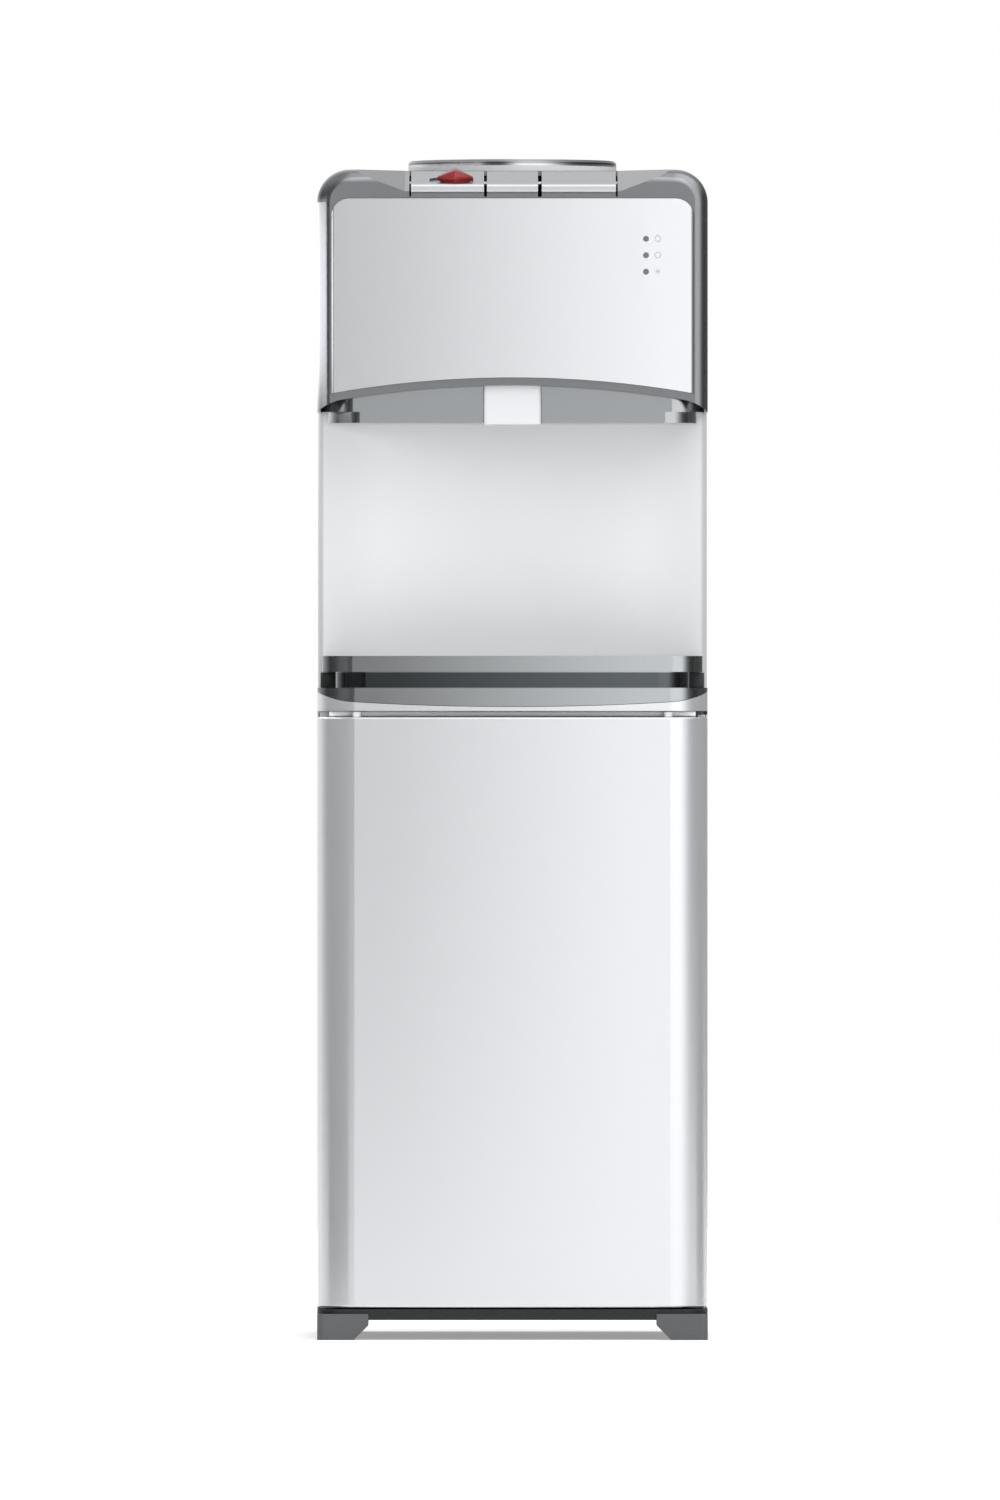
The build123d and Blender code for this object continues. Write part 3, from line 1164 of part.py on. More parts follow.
# Condenser: flat serpentine tube behind the back panel, with wires welded across both faces
CONDENSER_Y = BACK + CONDENSER_ROOM / 2
condenser_top = CONDENSER_Z + (CONDENSER_RUNS - 1) * CONDENSER_PITCH
with BuildPart() as condenser_tube:
    with BuildLine() as serpentine:
        for run in range(CONDENSER_RUNS):
            run_z = CONDENSER_Z + run * CONDENSER_PITCH
            way = 1 if run % 2 == 0 else -1
            run_end = (way * CONDENSER_HALF, CONDENSER_Y, run_z)
            Line((-way * CONDENSER_HALF, CONDENSER_Y, run_z), run_end)
            if run < CONDENSER_RUNS - 1:
                ThreePointArc(run_end, (way * (CONDENSER_HALF + CONDENSER_PITCH / 2), CONDENSER_Y,
                                        run_z + CONDENSER_PITCH / 2),
                              (way * CONDENSER_HALF, CONDENSER_Y, run_z + CONDENSER_PITCH))
    with BuildSketch(yz(-CONDENSER_HALF)):
        with Locations((CONDENSER_Y, CONDENSER_Z)):
            Circle(CONDENSER_R)
    sweep(path=serpentine.wires()[0])
finish(condenser_tube, "condenser_tube")
wire_count = int(2 * (BRACKET_X - BRACKET_W / 2) / WIRE_PITCH)
with BuildPart() as condenser_wires:
    with BuildSketch(Plane.XY.offset(CONDENSER_Z - WIRE_OVERHANG)):
        with Locations((0, CONDENSER_Y)):
            with GridLocations(WIRE_PITCH, 2 * (CONDENSER_R + WIRE_GAP + WIRE_R), wire_count, 2):
                Circle(WIRE_R)
    extrude(amount=condenser_top - CONDENSER_Z + 2 * WIRE_OVERHANG)
finish(condenser_wires, "condenser_wires")

# Condenser brackets: four moulded blocks that hold the tube and keep the back off the wall
with BuildPart() as condenser_brackets:
    with BuildSketch(xz(DEPTH / 2)):
        with Locations((0, (CONDENSER_Z + condenser_top) / 2)):
            with GridLocations(2 * BRACKET_X, (CONDENSER_RUNS - 3) * CONDENSER_PITCH, 2, 2):
                RectangleRounded(BRACKET_W, BRACKET_H, BRACKET_W / 4)
    extrude(amount=CONDENSER_ROOM)
    with BuildSketch(yz(-HALF)):
        with Locations((CONDENSER_Y, (CONDENSER_Z + condenser_top) / 2)):
            with GridLocations(1, (CONDENSER_RUNS - 3) * CONDENSER_PITCH, 1, 2):
                Circle(CONDENSER_R + RUN_FIT)
    extrude(amount=WIDTH, mode=Mode.SUBTRACT)
finish(condenser_brackets, "condenser_brackets")

# Refrigerant pipes: compressor to condenser, evaporator to compressor, condenser to filter drier
pipe_z = COMP_TOP + PIPE_RISE
discharge_x = COMP_X + SUCTION_OFFSET
drier_y = BACK - DRIER_BACK_GAP
drier_top = DRIER_Z + DRIER_L
coil_back = SEAT_Y + COLD_R + COIL_T + TRIM_GAP
with BuildPart() as refrigerant_pipes:
    tube_along([(discharge_x, COMP_Y, COMP_TOP), (discharge_x, COMP_Y, pipe_z),
                (discharge_x, CONDENSER_Y, pipe_z), (PIPE_SIDE, CONDENSER_Y, pipe_z),
                (PIPE_SIDE, CONDENSER_Y, condenser_top), (CONDENSER_HALF, CONDENSER_Y, condenser_top)],
               PIPE_BEND_R, PIPE_R)
    tube_along([(SUCTION_X, COMP_Y, COMP_TOP), (SUCTION_X, COMP_Y, pipe_z), (SUCTION_X, SUCTION_Y, pipe_z),
                (SUCTION_X, SUCTION_Y, SUCTION_Z), (SUCTION_X, coil_back, SUCTION_Z)],
               SUCTION_BEND_R, PIPE_R)
    tube_along([(-CONDENSER_HALF, CONDENSER_Y, CONDENSER_Z), (-PIPE_SIDE, CONDENSER_Y, CONDENSER_Z),
                (-PIPE_SIDE, CONDENSER_Y, pipe_z), (DRIER_X, drier_y, pipe_z), (DRIER_X, drier_y, drier_top)],
               PIPE_BEND_R, PIPE_R)
finish(refrigerant_pipes, "refrigerant_pipes")

# Filter drier hung from the liquid pipe
with BuildPart() as filter_drier:
    with BuildSketch(upright_at(DRIER_X, drier_y)):
        polygon((0, DRIER_Z), (PIPE_R, DRIER_Z), (DRIER_R, DRIER_Z + DRIER_NECK),
                (DRIER_R, drier_top - DRIER_NECK), (PIPE_R, drier_top), (0, drier_top))
    revolve(axis=Axis((DRIER_X, drier_y, 0), (0, 0, 1)))
finish(filter_drier, "filter_drier")

# Switch plate on the back of the head, with windows and pin holes for two rockers
ROCKER_Y = BACK + SWITCH_PLATE_T / 2
with BuildPart() as switch_plate:
    with BuildSketch(xz(BACK + SWITCH_PLATE_T)):
        with Locations((SWITCH_X, SWITCH_Z)):
            RectangleRounded(SWITCH_PLATE_W, SWITCH_PLATE_H, SWITCH_PLATE_T)
            with GridLocations(SWITCH_PITCH, 1, 2, 1):
                Rectangle(ROCKER_W + 2 * TRIM_GAP, ROCKER_H + 2 * ROCKER_GAP, mode=Mode.SUBTRACT)
    extrude(amount=SWITCH_PLATE_T)
    for rocker_side in (-1, 1):
        with BuildSketch(yz(SWITCH_X + rocker_side * SWITCH_PITCH / 2 - ROCKER_W / 2 - ROCKER_PIN_L)):
            with Locations((ROCKER_Y, SWITCH_Z)):
                Circle(ROCKER_PIN_R + RUN_FIT)
        extrude(amount=ROCKER_W + 2 * ROCKER_PIN_L, mode=Mode.SUBTRACT)
finish(switch_plate, "switch_plate")

# Rocker switches: shown with the lower half pressed in
for rocker_side, name in ((-1, "hot_switch"), (1, "cold_switch")):
    rocker_x = SWITCH_X + rocker_side * SWITCH_PITCH / 2
    tilt = tan(radians(ROCKER_ANGLE))
    with BuildPart() as rocker:
        with BuildSketch(Plane(origin=(rocker_x - ROCKER_W / 2, ROCKER_Y, SWITCH_Z), x_dir=(0, 1, -tilt),
                               z_dir=(1, 0, 0))):
            polygon((-ROCKER_DEPTH, -ROCKER_H / 2), (ROCKER_PROUD, -ROCKER_H / 2),
                    (ROCKER_PROUD - ROCKER_PIN_R, 0), (ROCKER_PROUD, ROCKER_H / 2),
                    (-ROCKER_DEPTH, ROCKER_H / 2))
        extrude(amount=ROCKER_W)
        with BuildSketch(yz(rocker_x - ROCKER_W / 2 - ROCKER_PIN_L + TRIM_GAP)):
            with Locations((ROCKER_Y, SWITCH_Z)):
                Circle(ROCKER_PIN_R)
        extrude(amount=ROCKER_W + 2 * (ROCKER_PIN_L - TRIM_GAP))
    finish(rocker, name)

# Cord gland: moulded inlet on the back panel for the mains lead
with BuildPart() as cord_gland:
    with BuildSketch(xz(BACK + GLAND_L)):
        with Locations((GLAND_X, GLAND_Z)):
            Circle(GLAND_R)
    extrude(amount=GLAND_L)
    with BuildSketch(xz(BACK + GLAND_NUT_T)):
        with Locations((GLAND_X, GLAND_Z)):
            RegularPolygon(GLAND_NUT_R, 6)
    extrude(amount=GLAND_NUT_T)
    with BuildSketch(xz(BACK + GLAND_L)):
        with Locations((GLAND_X, GLAND_Z)):
            Circle(GLAND_BORE_R)
    extrude(amount=GLAND_L, mode=Mode.SUBTRACT)
finish(cord_gland, "cord_gland")

# Drain outlet on the back panel and the cap that closes it
with BuildPart() as drain_outlet:
    with BuildSketch(xz(BACK + DRAIN_L)):
        with Locations((DRAIN_X, DRAIN_Z)):
            Circle(DRAIN_R)
            Circle(DRAIN_BORE_R, mode=Mode.SUBTRACT)
    extrude(amount=DRAIN_L)
finish(drain_outlet, "drain_outlet")
with BuildPart() as drain_cap:
    with BuildSketch(xz(BACK + DRAIN_L + DRAIN_CAP_L / 2)):
        with Locations((DRAIN_X, DRAIN_Z)):
            Circle(DRAIN_CAP_R)
    extrude(amount=DRAIN_CAP_L)
    with BuildSketch(xz(BACK + DRAIN_L)):
        with Locations((DRAIN_X, DRAIN_Z)):
            Circle(DRAIN_R + RUN_FIT)
    extrude(amount=DRAIN_CAP_L / 2, mode=Mode.SUBTRACT)
finish(drain_cap, "drain_cap")

# Panel screws: pan heads with a socket along the back panel's edges
screw_step = (SHELL_Z - BACK_PANEL_Z - 2 * SCREW_INSET) / 2
with BuildPart() as panel_screws:
    with BuildSketch(xz(BACK + SCREW_H)):
        with Locations((0, (BACK_PANEL_Z + SHELL_Z) / 2)):
            with GridLocations(2 * (HALF - SCREW_INSET), screw_step, 2, 3):
                Circle(SCREW_R)
    extrude(amount=SCREW_H)
    with BuildSketch(xz(BACK + SCREW_H)):
        with Locations((0, (BACK_PANEL_Z + SHELL_Z) / 2)):
            with GridLocations(2 * (HALF - SCREW_INSET), screw_step, 2, 3):
                Circle(SCREW_SOCKET_R)
    extrude(amount=SCREW_H / 2, mode=Mode.SUBTRACT)
finish(panel_screws, "panel_screws")
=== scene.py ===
"""Water dispenser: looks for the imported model, piece by piece, in the model's own frame in metres."""
import math

import bpy
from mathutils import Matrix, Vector


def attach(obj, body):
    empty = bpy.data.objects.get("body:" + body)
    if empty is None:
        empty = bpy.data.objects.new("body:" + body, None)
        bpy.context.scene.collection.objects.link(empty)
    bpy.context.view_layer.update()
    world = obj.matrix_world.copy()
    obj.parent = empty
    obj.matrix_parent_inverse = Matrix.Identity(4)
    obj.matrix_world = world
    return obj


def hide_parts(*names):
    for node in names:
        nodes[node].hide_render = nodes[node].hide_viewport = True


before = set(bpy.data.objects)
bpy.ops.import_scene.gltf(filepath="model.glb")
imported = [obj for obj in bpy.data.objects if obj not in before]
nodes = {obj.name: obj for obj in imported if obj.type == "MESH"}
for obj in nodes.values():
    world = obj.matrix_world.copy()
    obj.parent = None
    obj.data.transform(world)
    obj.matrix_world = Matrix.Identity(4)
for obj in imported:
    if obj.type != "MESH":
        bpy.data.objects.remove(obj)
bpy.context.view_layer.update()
bpy.ops.object.select_all(action="DESELECT")


# Base plate: one black moulded tray that carries the cabinet, the compressor and the feet.
# Its plastic has a fine spark-eroded grain. The small black fittings are of the same plastic.
class Wire:
    """A shader socket. Operators on it add Math nodes, and make() adds any other node."""

    def __init__(self, tree, socket):
        self.tree, self.socket = tree, socket

    def make(self, kind, settings=(), sockets=(), out=0):
        node = self.tree.nodes.new("ShaderNode" + kind)
        for name, value in dict(settings).items():
            setattr(node, name, value)
        for name, value in dict(sockets).items():
            if isinstance(value, Wire):
                self.tree.links.new(value.socket, node.inputs[name])
            else:
                node.inputs[name].default_value = value
        return Wire(self.tree, node.outputs[out])

    def reckon(self, operation, *values):
        return self.make("Math", {"operation": operation}, dict(enumerate(values)))

    def __add__(self, other):
        return self.reckon("ADD", self, other)

    def __sub__(self, other):
        return self.reckon("SUBTRACT", self, other)

    def __rsub__(self, other):
        return self.reckon("SUBTRACT", other, self)

    def __mul__(self, other):
        return self.reckon("MULTIPLY", self, other)

    def __abs__(self):
        return self.reckon("ABSOLUTE", self)

    __radd__, __rmul__ = __add__, __mul__

    def axes(self):
        return [self.make("SeparateXYZ", {}, {0: self}, axis) for axis in range(3)]

    def noise(self, scale, detail=2.0):
        return self.make("TexNoise", {}, {"Vector": self, "Scale": scale, "Detail": detail})

    def blend(self, low, high):
        """A colour from low to high, each a plain colour or a wire that carries one."""
        low, high = [end if isinstance(end, Wire) else (*end, 1) for end in (low, high)]
        return self.make("Mix", {"data_type": "RGBA"}, {0: self, 6: low, 7: high}, 2)

    def bump(self, strength, distance, invert=False):
        return self.make("Bump", {"invert": invert},
                         {"Strength": strength, "Distance": distance, "Height": self})


def new_finish(name, **constants):
    """A material, its place coordinates, and a call that links a socket of its shader."""
    material = bpy.data.materials.new(name)
    material.use_nodes = True
    tree = material.node_tree
    shader = tree.nodes["Principled BSDF"]
    for socket, value in constants.items():
        shader.inputs[socket.replace("_", " ")].default_value = value
    place = Wire(tree, tree.nodes.new("ShaderNodeTexCoord").outputs["Object"])

    def feed(socket, value):
        tree.links.new(value.socket, shader.inputs[socket])

    return material, place, feed


CLOUD_SCALE, CLOUD_SHARE, MOTTLE = 9.0, 0.7, 0.05
GRAIN_HEIGHT = 0.0002


def mottle(place, speck, colour):
    """A plastic's colour, which drifts a little darker and paler in clouds and specks."""
    cloud = place.noise(CLOUD_SCALE, 3.0)
    drift = CLOUD_SHARE * cloud + (1 - CLOUD_SHARE) * speck
    return drift.blend([part * (1 - MOTTLE) for part in colour],
                       [min(part * (1 + MOTTLE), 1) for part in colour])


def moulded_plastic(name, colour, rough, grain, depth, **constants):
    """Moulded plastic: cloudy colour, a fine grain in the surface, gloss that varies a little."""
    material, place, feed = new_finish(name, **constants)
    speck = place.noise(grain)
    feed("Base Color", mottle(place, speck, colour))
    feed("Roughness", (rough - 0.05) + 0.1 * speck)
    feed("Normal", speck.bump(depth, GRAIN_HEIGHT))
    return material


def dress(material, *names):
    for name in names:
        mesh = nodes[name].data
        mesh.materials.clear()
        mesh.materials.append(material)


black_plastic = moulded_plastic("black_plastic", (0.015, 0.018, 0.020), 0.5, 1400, 0.25,
                                Specular_IOR_Level=0.3)
dress(black_plastic, "base_plate", "switch_plate", "cord_gland", "relay_box", "condenser_brackets",
      "drain_cap")


# Feet: grey moulded front feet with a slanted inner side, and soft black pads at the back.
# They press into the base plate from below. The compressor's grommets are of the same black rubber.
foot_plastic = moulded_plastic("foot_plastic", (0.088, 0.090, 0.093), 0.5, 1200, 0.3)
dress(foot_plastic, "front_feet")
black_rubber = moulded_plastic("black_rubber", (0.022, 0.022, 0.023), 0.75, 700, 0.4)
dress(black_rubber, "rear_feet", "grommets")


# Door gasket: a soft grey rubber frame that seals the door against the cabinet.
# It is extruded, joined at its corners and fixed to the door's back.
grey_rubber = moulded_plastic("grey_rubber", (0.30, 0.305, 0.31), 0.7, 700, 0.3)
dress(grey_rubber, "door_gasket")


# Side panels: folded steel sheet with a pale powder coat, hooked into the base and the head.
# The powder melts to a faint orange peel.
coated_sheet, place, feed = new_finish("coated_sheet", Metallic=0.1, Coat_Weight=0.2, Coat_Roughness=0.25)
peel = place.noise(420)
feed("Base Color", place.noise(6.0).blend((0.60, 0.61, 0.63), (0.64, 0.65, 0.67)))
feed("Roughness", 0.34 + 0.1 * peel)
feed("Normal", peel.bump(0.12, 0.0003))
dress(coated_sheet, "left_side_panel", "right_side_panel")


# Back panel and inner partitions: bare galvanised steel, with the zinc's large pale crystals.
# They are screwed and riveted to the side panels.
CRYSTAL_SCALE = 70.0
zinc_sheet, place, feed = new_finish("zinc_sheet", Metallic=0.85)
rim, crystal = [place.make("TexVoronoi", {}, {"Vector": place, "Scale": CRYSTAL_SCALE}, out)
                for out in ("Distance", "Color")]
feed("Base Color", crystal.blend((0.40, 0.41, 0.42), (0.56, 0.57, 0.58)))
feed("Roughness", 0.36 + 0.16 * rim)
dress(zinc_sheet, "back_panel", "partitions")


# Cabinet liner and door liner: vacuum-formed white sheet with a soft gloss.
# They clip into the cabinet front and into the door's rebate. The water fittings are as white.
white_plastic = moulded_plastic("white_plastic", (0.82, 0.83, 0.84), 0.28, 600, 0.06)
dress(white_plastic, "cabinet_liner", "door_liner", "collar_seat", "feed_probe", "spout_nozzle",
      "valve_manifold", "valves", "drain_outlet", "hot_plunger", "normal_plunger", "cold_plunger")


# Cabinet door, apron and front panel: bowed shells in satin silver lacquer. The door hangs on two pins.
# Aluminium flake in the lacquer sparkles faintly, and a clear coat lies on top.
def ease(value, low, high):
    """A mask that rises softly from 0 to 1 between two values."""
    return value.make("MapRange", {"interpolation_type": "SMOOTHSTEP"}, {0: value, 1: low, 2: high})


FLAKE_DARK, FLAKE_PALE, BARE_GREY = (0.65, 0.66, 0.68), (0.70, 0.71, 0.73), (0.30, 0.305, 0.31)
BARE_START, BARE_FULL = 0.0026, 0.0018
PANEL_HALF = 0.1485


def silver_lacquer(name, half=1.0):
    """Silver lacquer on a piece of a given half width, whose two upright sides stay unpainted grey."""
    material, place, feed = new_finish(name, Metallic=0.62, Coat_Weight=0.1, Coat_Roughness=0.15)
    flake = place.noise(2600, 1.0)
    across = place.axes()[0]
    bare = ease(abs(across), half - BARE_START, half - BARE_FULL)
    feed("Base Color", bare.blend(flake.blend(FLAKE_DARK, FLAKE_PALE), BARE_GREY))
    feed("Roughness", 0.20 + 0.06 * place.noise(700, 1.0))
    feed("Normal", place.noise(500).bump(0.05, GRAIN_HEIGHT))
    return material


dress(silver_lacquer("silver_paint"), "door_shell", "apron")
dress(silver_lacquer("panel_silver", PANEL_HALF), "front_panel")


# Rod, tanks and small metal parts: drawn and turned stainless steel.
# Fine lines run round or along the piece.
steel, place, feed = new_finish("steel", Metallic=1.0)
scratch = place.make("Mapping", {}, {"Vector": place, "Scale": (30, 30, 900)}).noise(1.0)
feed("Base Color", scratch.blend((0.50, 0.51, 0.52), (0.66, 0.67, 0.68)))
feed("Roughness", 0.24 + 0.16 * scratch)
dress(steel, "key_pivot_rod", "cold_tank", "hot_tank", "band_heater", "thermostats",
      "compressor_plate", "panel_screws")


# Drip tray and its grille: grey satin plastic, pulled out by the groove under the rim, which is coloured
# with a painted shade.
# The tray is moulded in one; its front corners carry a painted shade, as if turned from the light. The
# grille lies loose on a ledge in it.
def banded_plastic(name, colour, rough, bands, **constants):
    """Satin plastic whose colour is changed where each band's mask, 0 to 1 on the place, says so."""
    material, place, feed = new_finish(name, **constants)
    speck = place.noise(1100)
    paint = mottle(place, speck, colour)
    across, along, up = place.axes()
    for mask, shade in bands:
        paint = mask(across, along, up).blend(paint, shade)
    feed("Base Color", paint)
    feed("Roughness", (rough - 0.02) + 0.04 * speck)
    feed("Normal", speck.bump(0.01, GRAIN_HEIGHT))
    return material


TRAY_GREY, CORNER_SHADE_GREY, GROOVE_SHADE_GREY = (0.385, 0.40, 0.41), (0.185, 0.19, 0.195), (0.085, 0.095, 0.10)
GROOVE_FLOOR, GROOVE_ROOF = (0.5333, 0.5345), (0.5460, 0.5472)
GROOVE_BACK, GROOVE_BOW = (-0.1535, -0.1525), 0.19
GROOVE_END, GROOVE_CORNER = (0.1425, 0.1435), (0.2785, 0.2795)
CORNER_SIDE, CORNER_DEPTH = (0.1395, 0.1470), (-0.1400, -0.1150)


# Painted shade: the groove's band is coloured near-black grey, as shade in the recess would be.
def groove_shade_mask(across, along, up):
    side = abs(across)
    inside = ease(along - GROOVE_BOW * side * side, *GROOVE_BACK)
    inside = inside * (1 - ease(side, *GROOVE_END)) * (1 - ease(side - along, *GROOVE_CORNER))
    return ease(up, *GROOVE_FLOOR) * (1 - ease(up, *GROOVE_ROOF)) * (1 - inside)


# Painted shade: the tray's rounded front corners are coloured a darker grey, as if turned from the light.
def tray_corner_shade_mask(across, along, up):
    return ease(abs(across), *CORNER_SIDE) * (1 - ease(along, *CORNER_DEPTH))


tray_grey = banded_plastic("tray_grey", TRAY_GREY, 0.13,
                           [(tray_corner_shade_mask, CORNER_SHADE_GREY), (groove_shade_mask, GROOVE_SHADE_GREY)], Metallic=0.9)
dress(tray_grey, "drip_tray")
grey_plastic = moulded_plastic("grey_plastic", TRAY_GREY, 0.28, 1100, 0.01, Metallic=0.95)
dress(grey_plastic, "drip_grille")


# Head: a dark grey shell that forms the bezel and the key deck, and a paler underbody behind the spout.
# Both are moulded with a metallic pigment, and the underbody closes the shell from below.
under_grey = moulded_plastic("under_grey", (0.37, 0.385, 0.395), 0.13, 1100, 0.01, Metallic=0.95)
dress(under_grey, "underbody")
bezel_grey = moulded_plastic("bezel_grey", (0.225, 0.23, 0.24), 0.22, 1100, 0.01, Metallic=0.9)
dress(bezel_grey, "head_shell")


# Splash-back: pale satin panel at the back of the cup niche, clipped to the side panels.
# Towards its sides it carries a painted shade a tone darker, and most of all on the rounded edges, which
# turn from the light.
SPLASH_PALE, SPLASH_SIDE_SHADE, SPLASH_EDGE_SHADE = (0.79, 0.795, 0.81), (0.715, 0.72, 0.735), (0.47, 0.475, 0.48)
SIDE_RISE, EDGE_RISE = (0.100, 0.152), (0.1545, 0.1570)


# Painted shade: darker towards both sides of the panel.
def splash_side_shade_mask(across, along, up):
    return ease(abs(across), *SIDE_RISE)


# Painted shade: darker still on the rounded edges.
def splash_edge_shade_mask(across, along, up):
    return ease(abs(across), *EDGE_RISE)


pale_plastic = banded_plastic("pale_plastic", SPLASH_PALE, 0.4,
                              [(splash_side_shade_mask, SPLASH_SIDE_SHADE), (splash_edge_shade_mask, SPLASH_EDGE_SHADE)])
dress(pale_plastic, "splash_back")


# Spout block: white gloss housing round the nozzle.
# It is moulded in one, hollow, and hung from the valve manifold.
spout_white = moulded_plastic("spout_white", (0.69, 0.70, 0.72), 0.25, 800, 0.04)
dress(spout_white, "spout_block")


# Push keys: three glossy grey keys that turn on one steel rod.
# They are moulded with a metallic pigment; the front lip is paler, the skirt under it is plain.
KEY_GREY, LIP_PALE, SKIRT_GREY = (0.26, 0.27, 0.285), (0.58, 0.595, 0.61), (0.32, 0.33, 0.335)
LIP_BACK, SKIRT_TOP = (-0.1628, -0.1618), (0.9390, 0.9396)


def lip_mask(across, along, up):
    return 1 - ease(along, *LIP_BACK)


def skirt_mask(across, along, up):
    return 1 - ease(up, *SKIRT_TOP)


key_plastic = banded_plastic("key_plastic", KEY_GREY, 0.26,
                             [(lip_mask, LIP_PALE), (skirt_mask, SKIRT_GREY)], Metallic=0.7)
dress(key_plastic, "hot_key", "normal_key", "cold_key")


# Rocker switches: a red one for the hot tank and a green one for the cold side, at the back of the head.
# They are moulded in dyed plastic and rock in the switch plate.
red_plastic = moulded_plastic("red_plastic", (0.28, 0.016, 0.022), 0.3, 900, 0.05)
dress(red_plastic, "child_lock", "hot_switch")
green_plastic = moulded_plastic("green_plastic", (0.03, 0.22, 0.09), 0.3, 900, 0.05)
dress(green_plastic, "cold_switch")


# Child lock: a faceted red slider, pointed at both ends, with a crest across the middle for the finger.
# It is moulded in one, sits in the hot key's slot and slides to the left.
SMOOTH_ANGLE = math.radians(30)


def only_select(piece):
    bpy.ops.object.select_all(action="DESELECT")
    piece.select_set(True)
    bpy.context.view_layer.objects.active = piece


def settle(piece, name, body, material):
    """Put a finished piece's place into its mesh, shade it, paint it and set it on its body."""
    only_select(piece)
    bpy.ops.object.transform_apply(location=True, rotation=True, scale=True)
    bpy.ops.object.shade_smooth_by_angle(angle=SMOOTH_ANGLE)
    piece.name = name
    piece.data.materials.clear()
    piece.data.materials.append(material)
    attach(piece, body)


LOCK_SPOT = Vector((-0.047, -0.147, 0.9514))
LOCK_REACH, LOCK_RADIUS, LOCK_STRETCH, LOCK_BEVEL = 0.0176, 0.0089, 1.5, 0.0009
LOCK_SINK = Vector((0, 0, 0.0030))
KEY_SLOPE = 0.224
bpy.ops.mesh.primitive_cone_add(vertices=8, radius1=LOCK_RADIUS, radius2=0, depth=LOCK_REACH,
                                end_fill_type="NOTHING", location=LOCK_SPOT + Vector((LOCK_REACH / 2, 0, 0)),
                                rotation=(0, math.radians(90), 0))
lock = bpy.context.object
lock.scale = (1, LOCK_STRETCH, 1)
bpy.ops.object.transform_apply(location=True, rotation=True, scale=True)
bpy.ops.object.mode_set(mode="EDIT")
bpy.ops.mesh.select_all(action="SELECT")
bpy.ops.mesh.duplicate()
bpy.ops.transform.mirror(constraint_axis=(True, False, False), center_override=LOCK_SPOT)
bpy.ops.mesh.select_all(action="SELECT")
bpy.ops.mesh.remove_doubles(threshold=0.0001)
bpy.ops.mesh.normals_make_consistent(inside=False)
bpy.ops.mesh.bevel(offset=LOCK_BEVEL, segments=3, affect="EDGES")
bpy.ops.mesh.select_all(action="SELECT")
bpy.ops.mesh.bisect(plane_co=LOCK_SPOT - LOCK_SINK, plane_no=(0, -KEY_SLOPE, 1), use_fill=True,
                    clear_inner=True)
bpy.ops.object.mode_set(mode="OBJECT")
settle(lock, "lock_slider", "child_lock", red_plastic)
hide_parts("child_lock")


# Bottle collar: a gloss ring that the upturned bottle stands on, moulded with a metallic pigment.
# It sits on the seat's flange. Its crown is darker than its skirt, and towards the sides the crown carries a
# painted dark reflection, where the ring turns away.
SKIRT_PALE, CROWN_GREY, CROWN_SIDE_SHADE = (0.62, 0.625, 0.635), (0.36, 0.36, 0.365), (0.15, 0.15, 0.155)
CROWN_FOOT, CROWN_SIDE = (0.9655, 0.9665), (0.02, 0.08)


def crown_mask(across, along, up):
    return ease(up, *CROWN_FOOT)


# Painted reflection: the crown darkens towards both sides, as the glossy ring's sides would mirror the dark
# surroundings.
def crown_side_shade_mask(across, along, up):
    return crown_mask(across, along, up) * ease(abs(across), *CROWN_SIDE)


dark_plastic = banded_plastic("dark_plastic", SKIRT_PALE, 0.18,
                              [(crown_mask, CROWN_GREY), (crown_side_shade_mask, CROWN_SIDE_SHADE)], Metallic=0.9)
dress(dark_plastic, "bottle_collar")


# Lamps: three small lenses of smoked plastic in front of the board's lights.
# They are pressed into holes of the front panel.
lamp_lens = moulded_plastic("lamp_lens", (0.14, 0.145, 0.15), 0.25, 900, 0.02)
dress(lamp_lens, "indicator_lamps")


# Printed marks: pale grey signs beside the lamps, a drop for hot, a ring for warm and a star for cold.
# They are pad-printed, and the ink stands a hair proud of the panel.
PRINT_X, PRINT_Y, PRINT_TURN = 0.119, -0.16592, 2.45
PRINT_RADIUS, PRINT_LINE, INK = 0.0026, 0.0007, 0.0005
DROP_TIP, STAR_WAIST = 0.6 * PRINT_RADIUS, 0.35
ink_grey = moulded_plastic("ink_grey", (0.47, 0.48, 0.50), 0.4, 900, 0.02)


def pick(mode, test):
    """Select in edit mode the elements of the active mesh that pass a test."""
    bpy.ops.mesh.select_mode(type=mode)
    bpy.ops.mesh.select_all(action="DESELECT")
    bpy.ops.object.mode_set(mode="OBJECT")
    mesh = bpy.context.object.data
    for element in {"VERT": mesh.vertices, "EDGE": mesh.edges, "FACE": mesh.polygons}[mode]:
        element.select = test(element)
    bpy.ops.object.mode_set(mode="EDIT")


def ring_shape(middle):
    bpy.ops.mesh.select_mode(type="FACE")
    bpy.ops.mesh.select_all(action="SELECT")
    bpy.ops.mesh.inset(thickness=PRINT_LINE)
    bpy.ops.mesh.delete(type="FACE")


def drop_shape(middle):
    pick("VERT", lambda vertex: vertex.co.y > 0.99 * PRINT_RADIUS)
    bpy.ops.transform.translate(value=(0, 0, DROP_TIP))
    ring_shape(middle)


def star_shape(middle):
    pick("VERT", lambda vertex: vertex.index % 2)
    bpy.ops.transform.resize(value=(STAR_WAIST, STAR_WAIST, STAR_WAIST), center_override=middle)


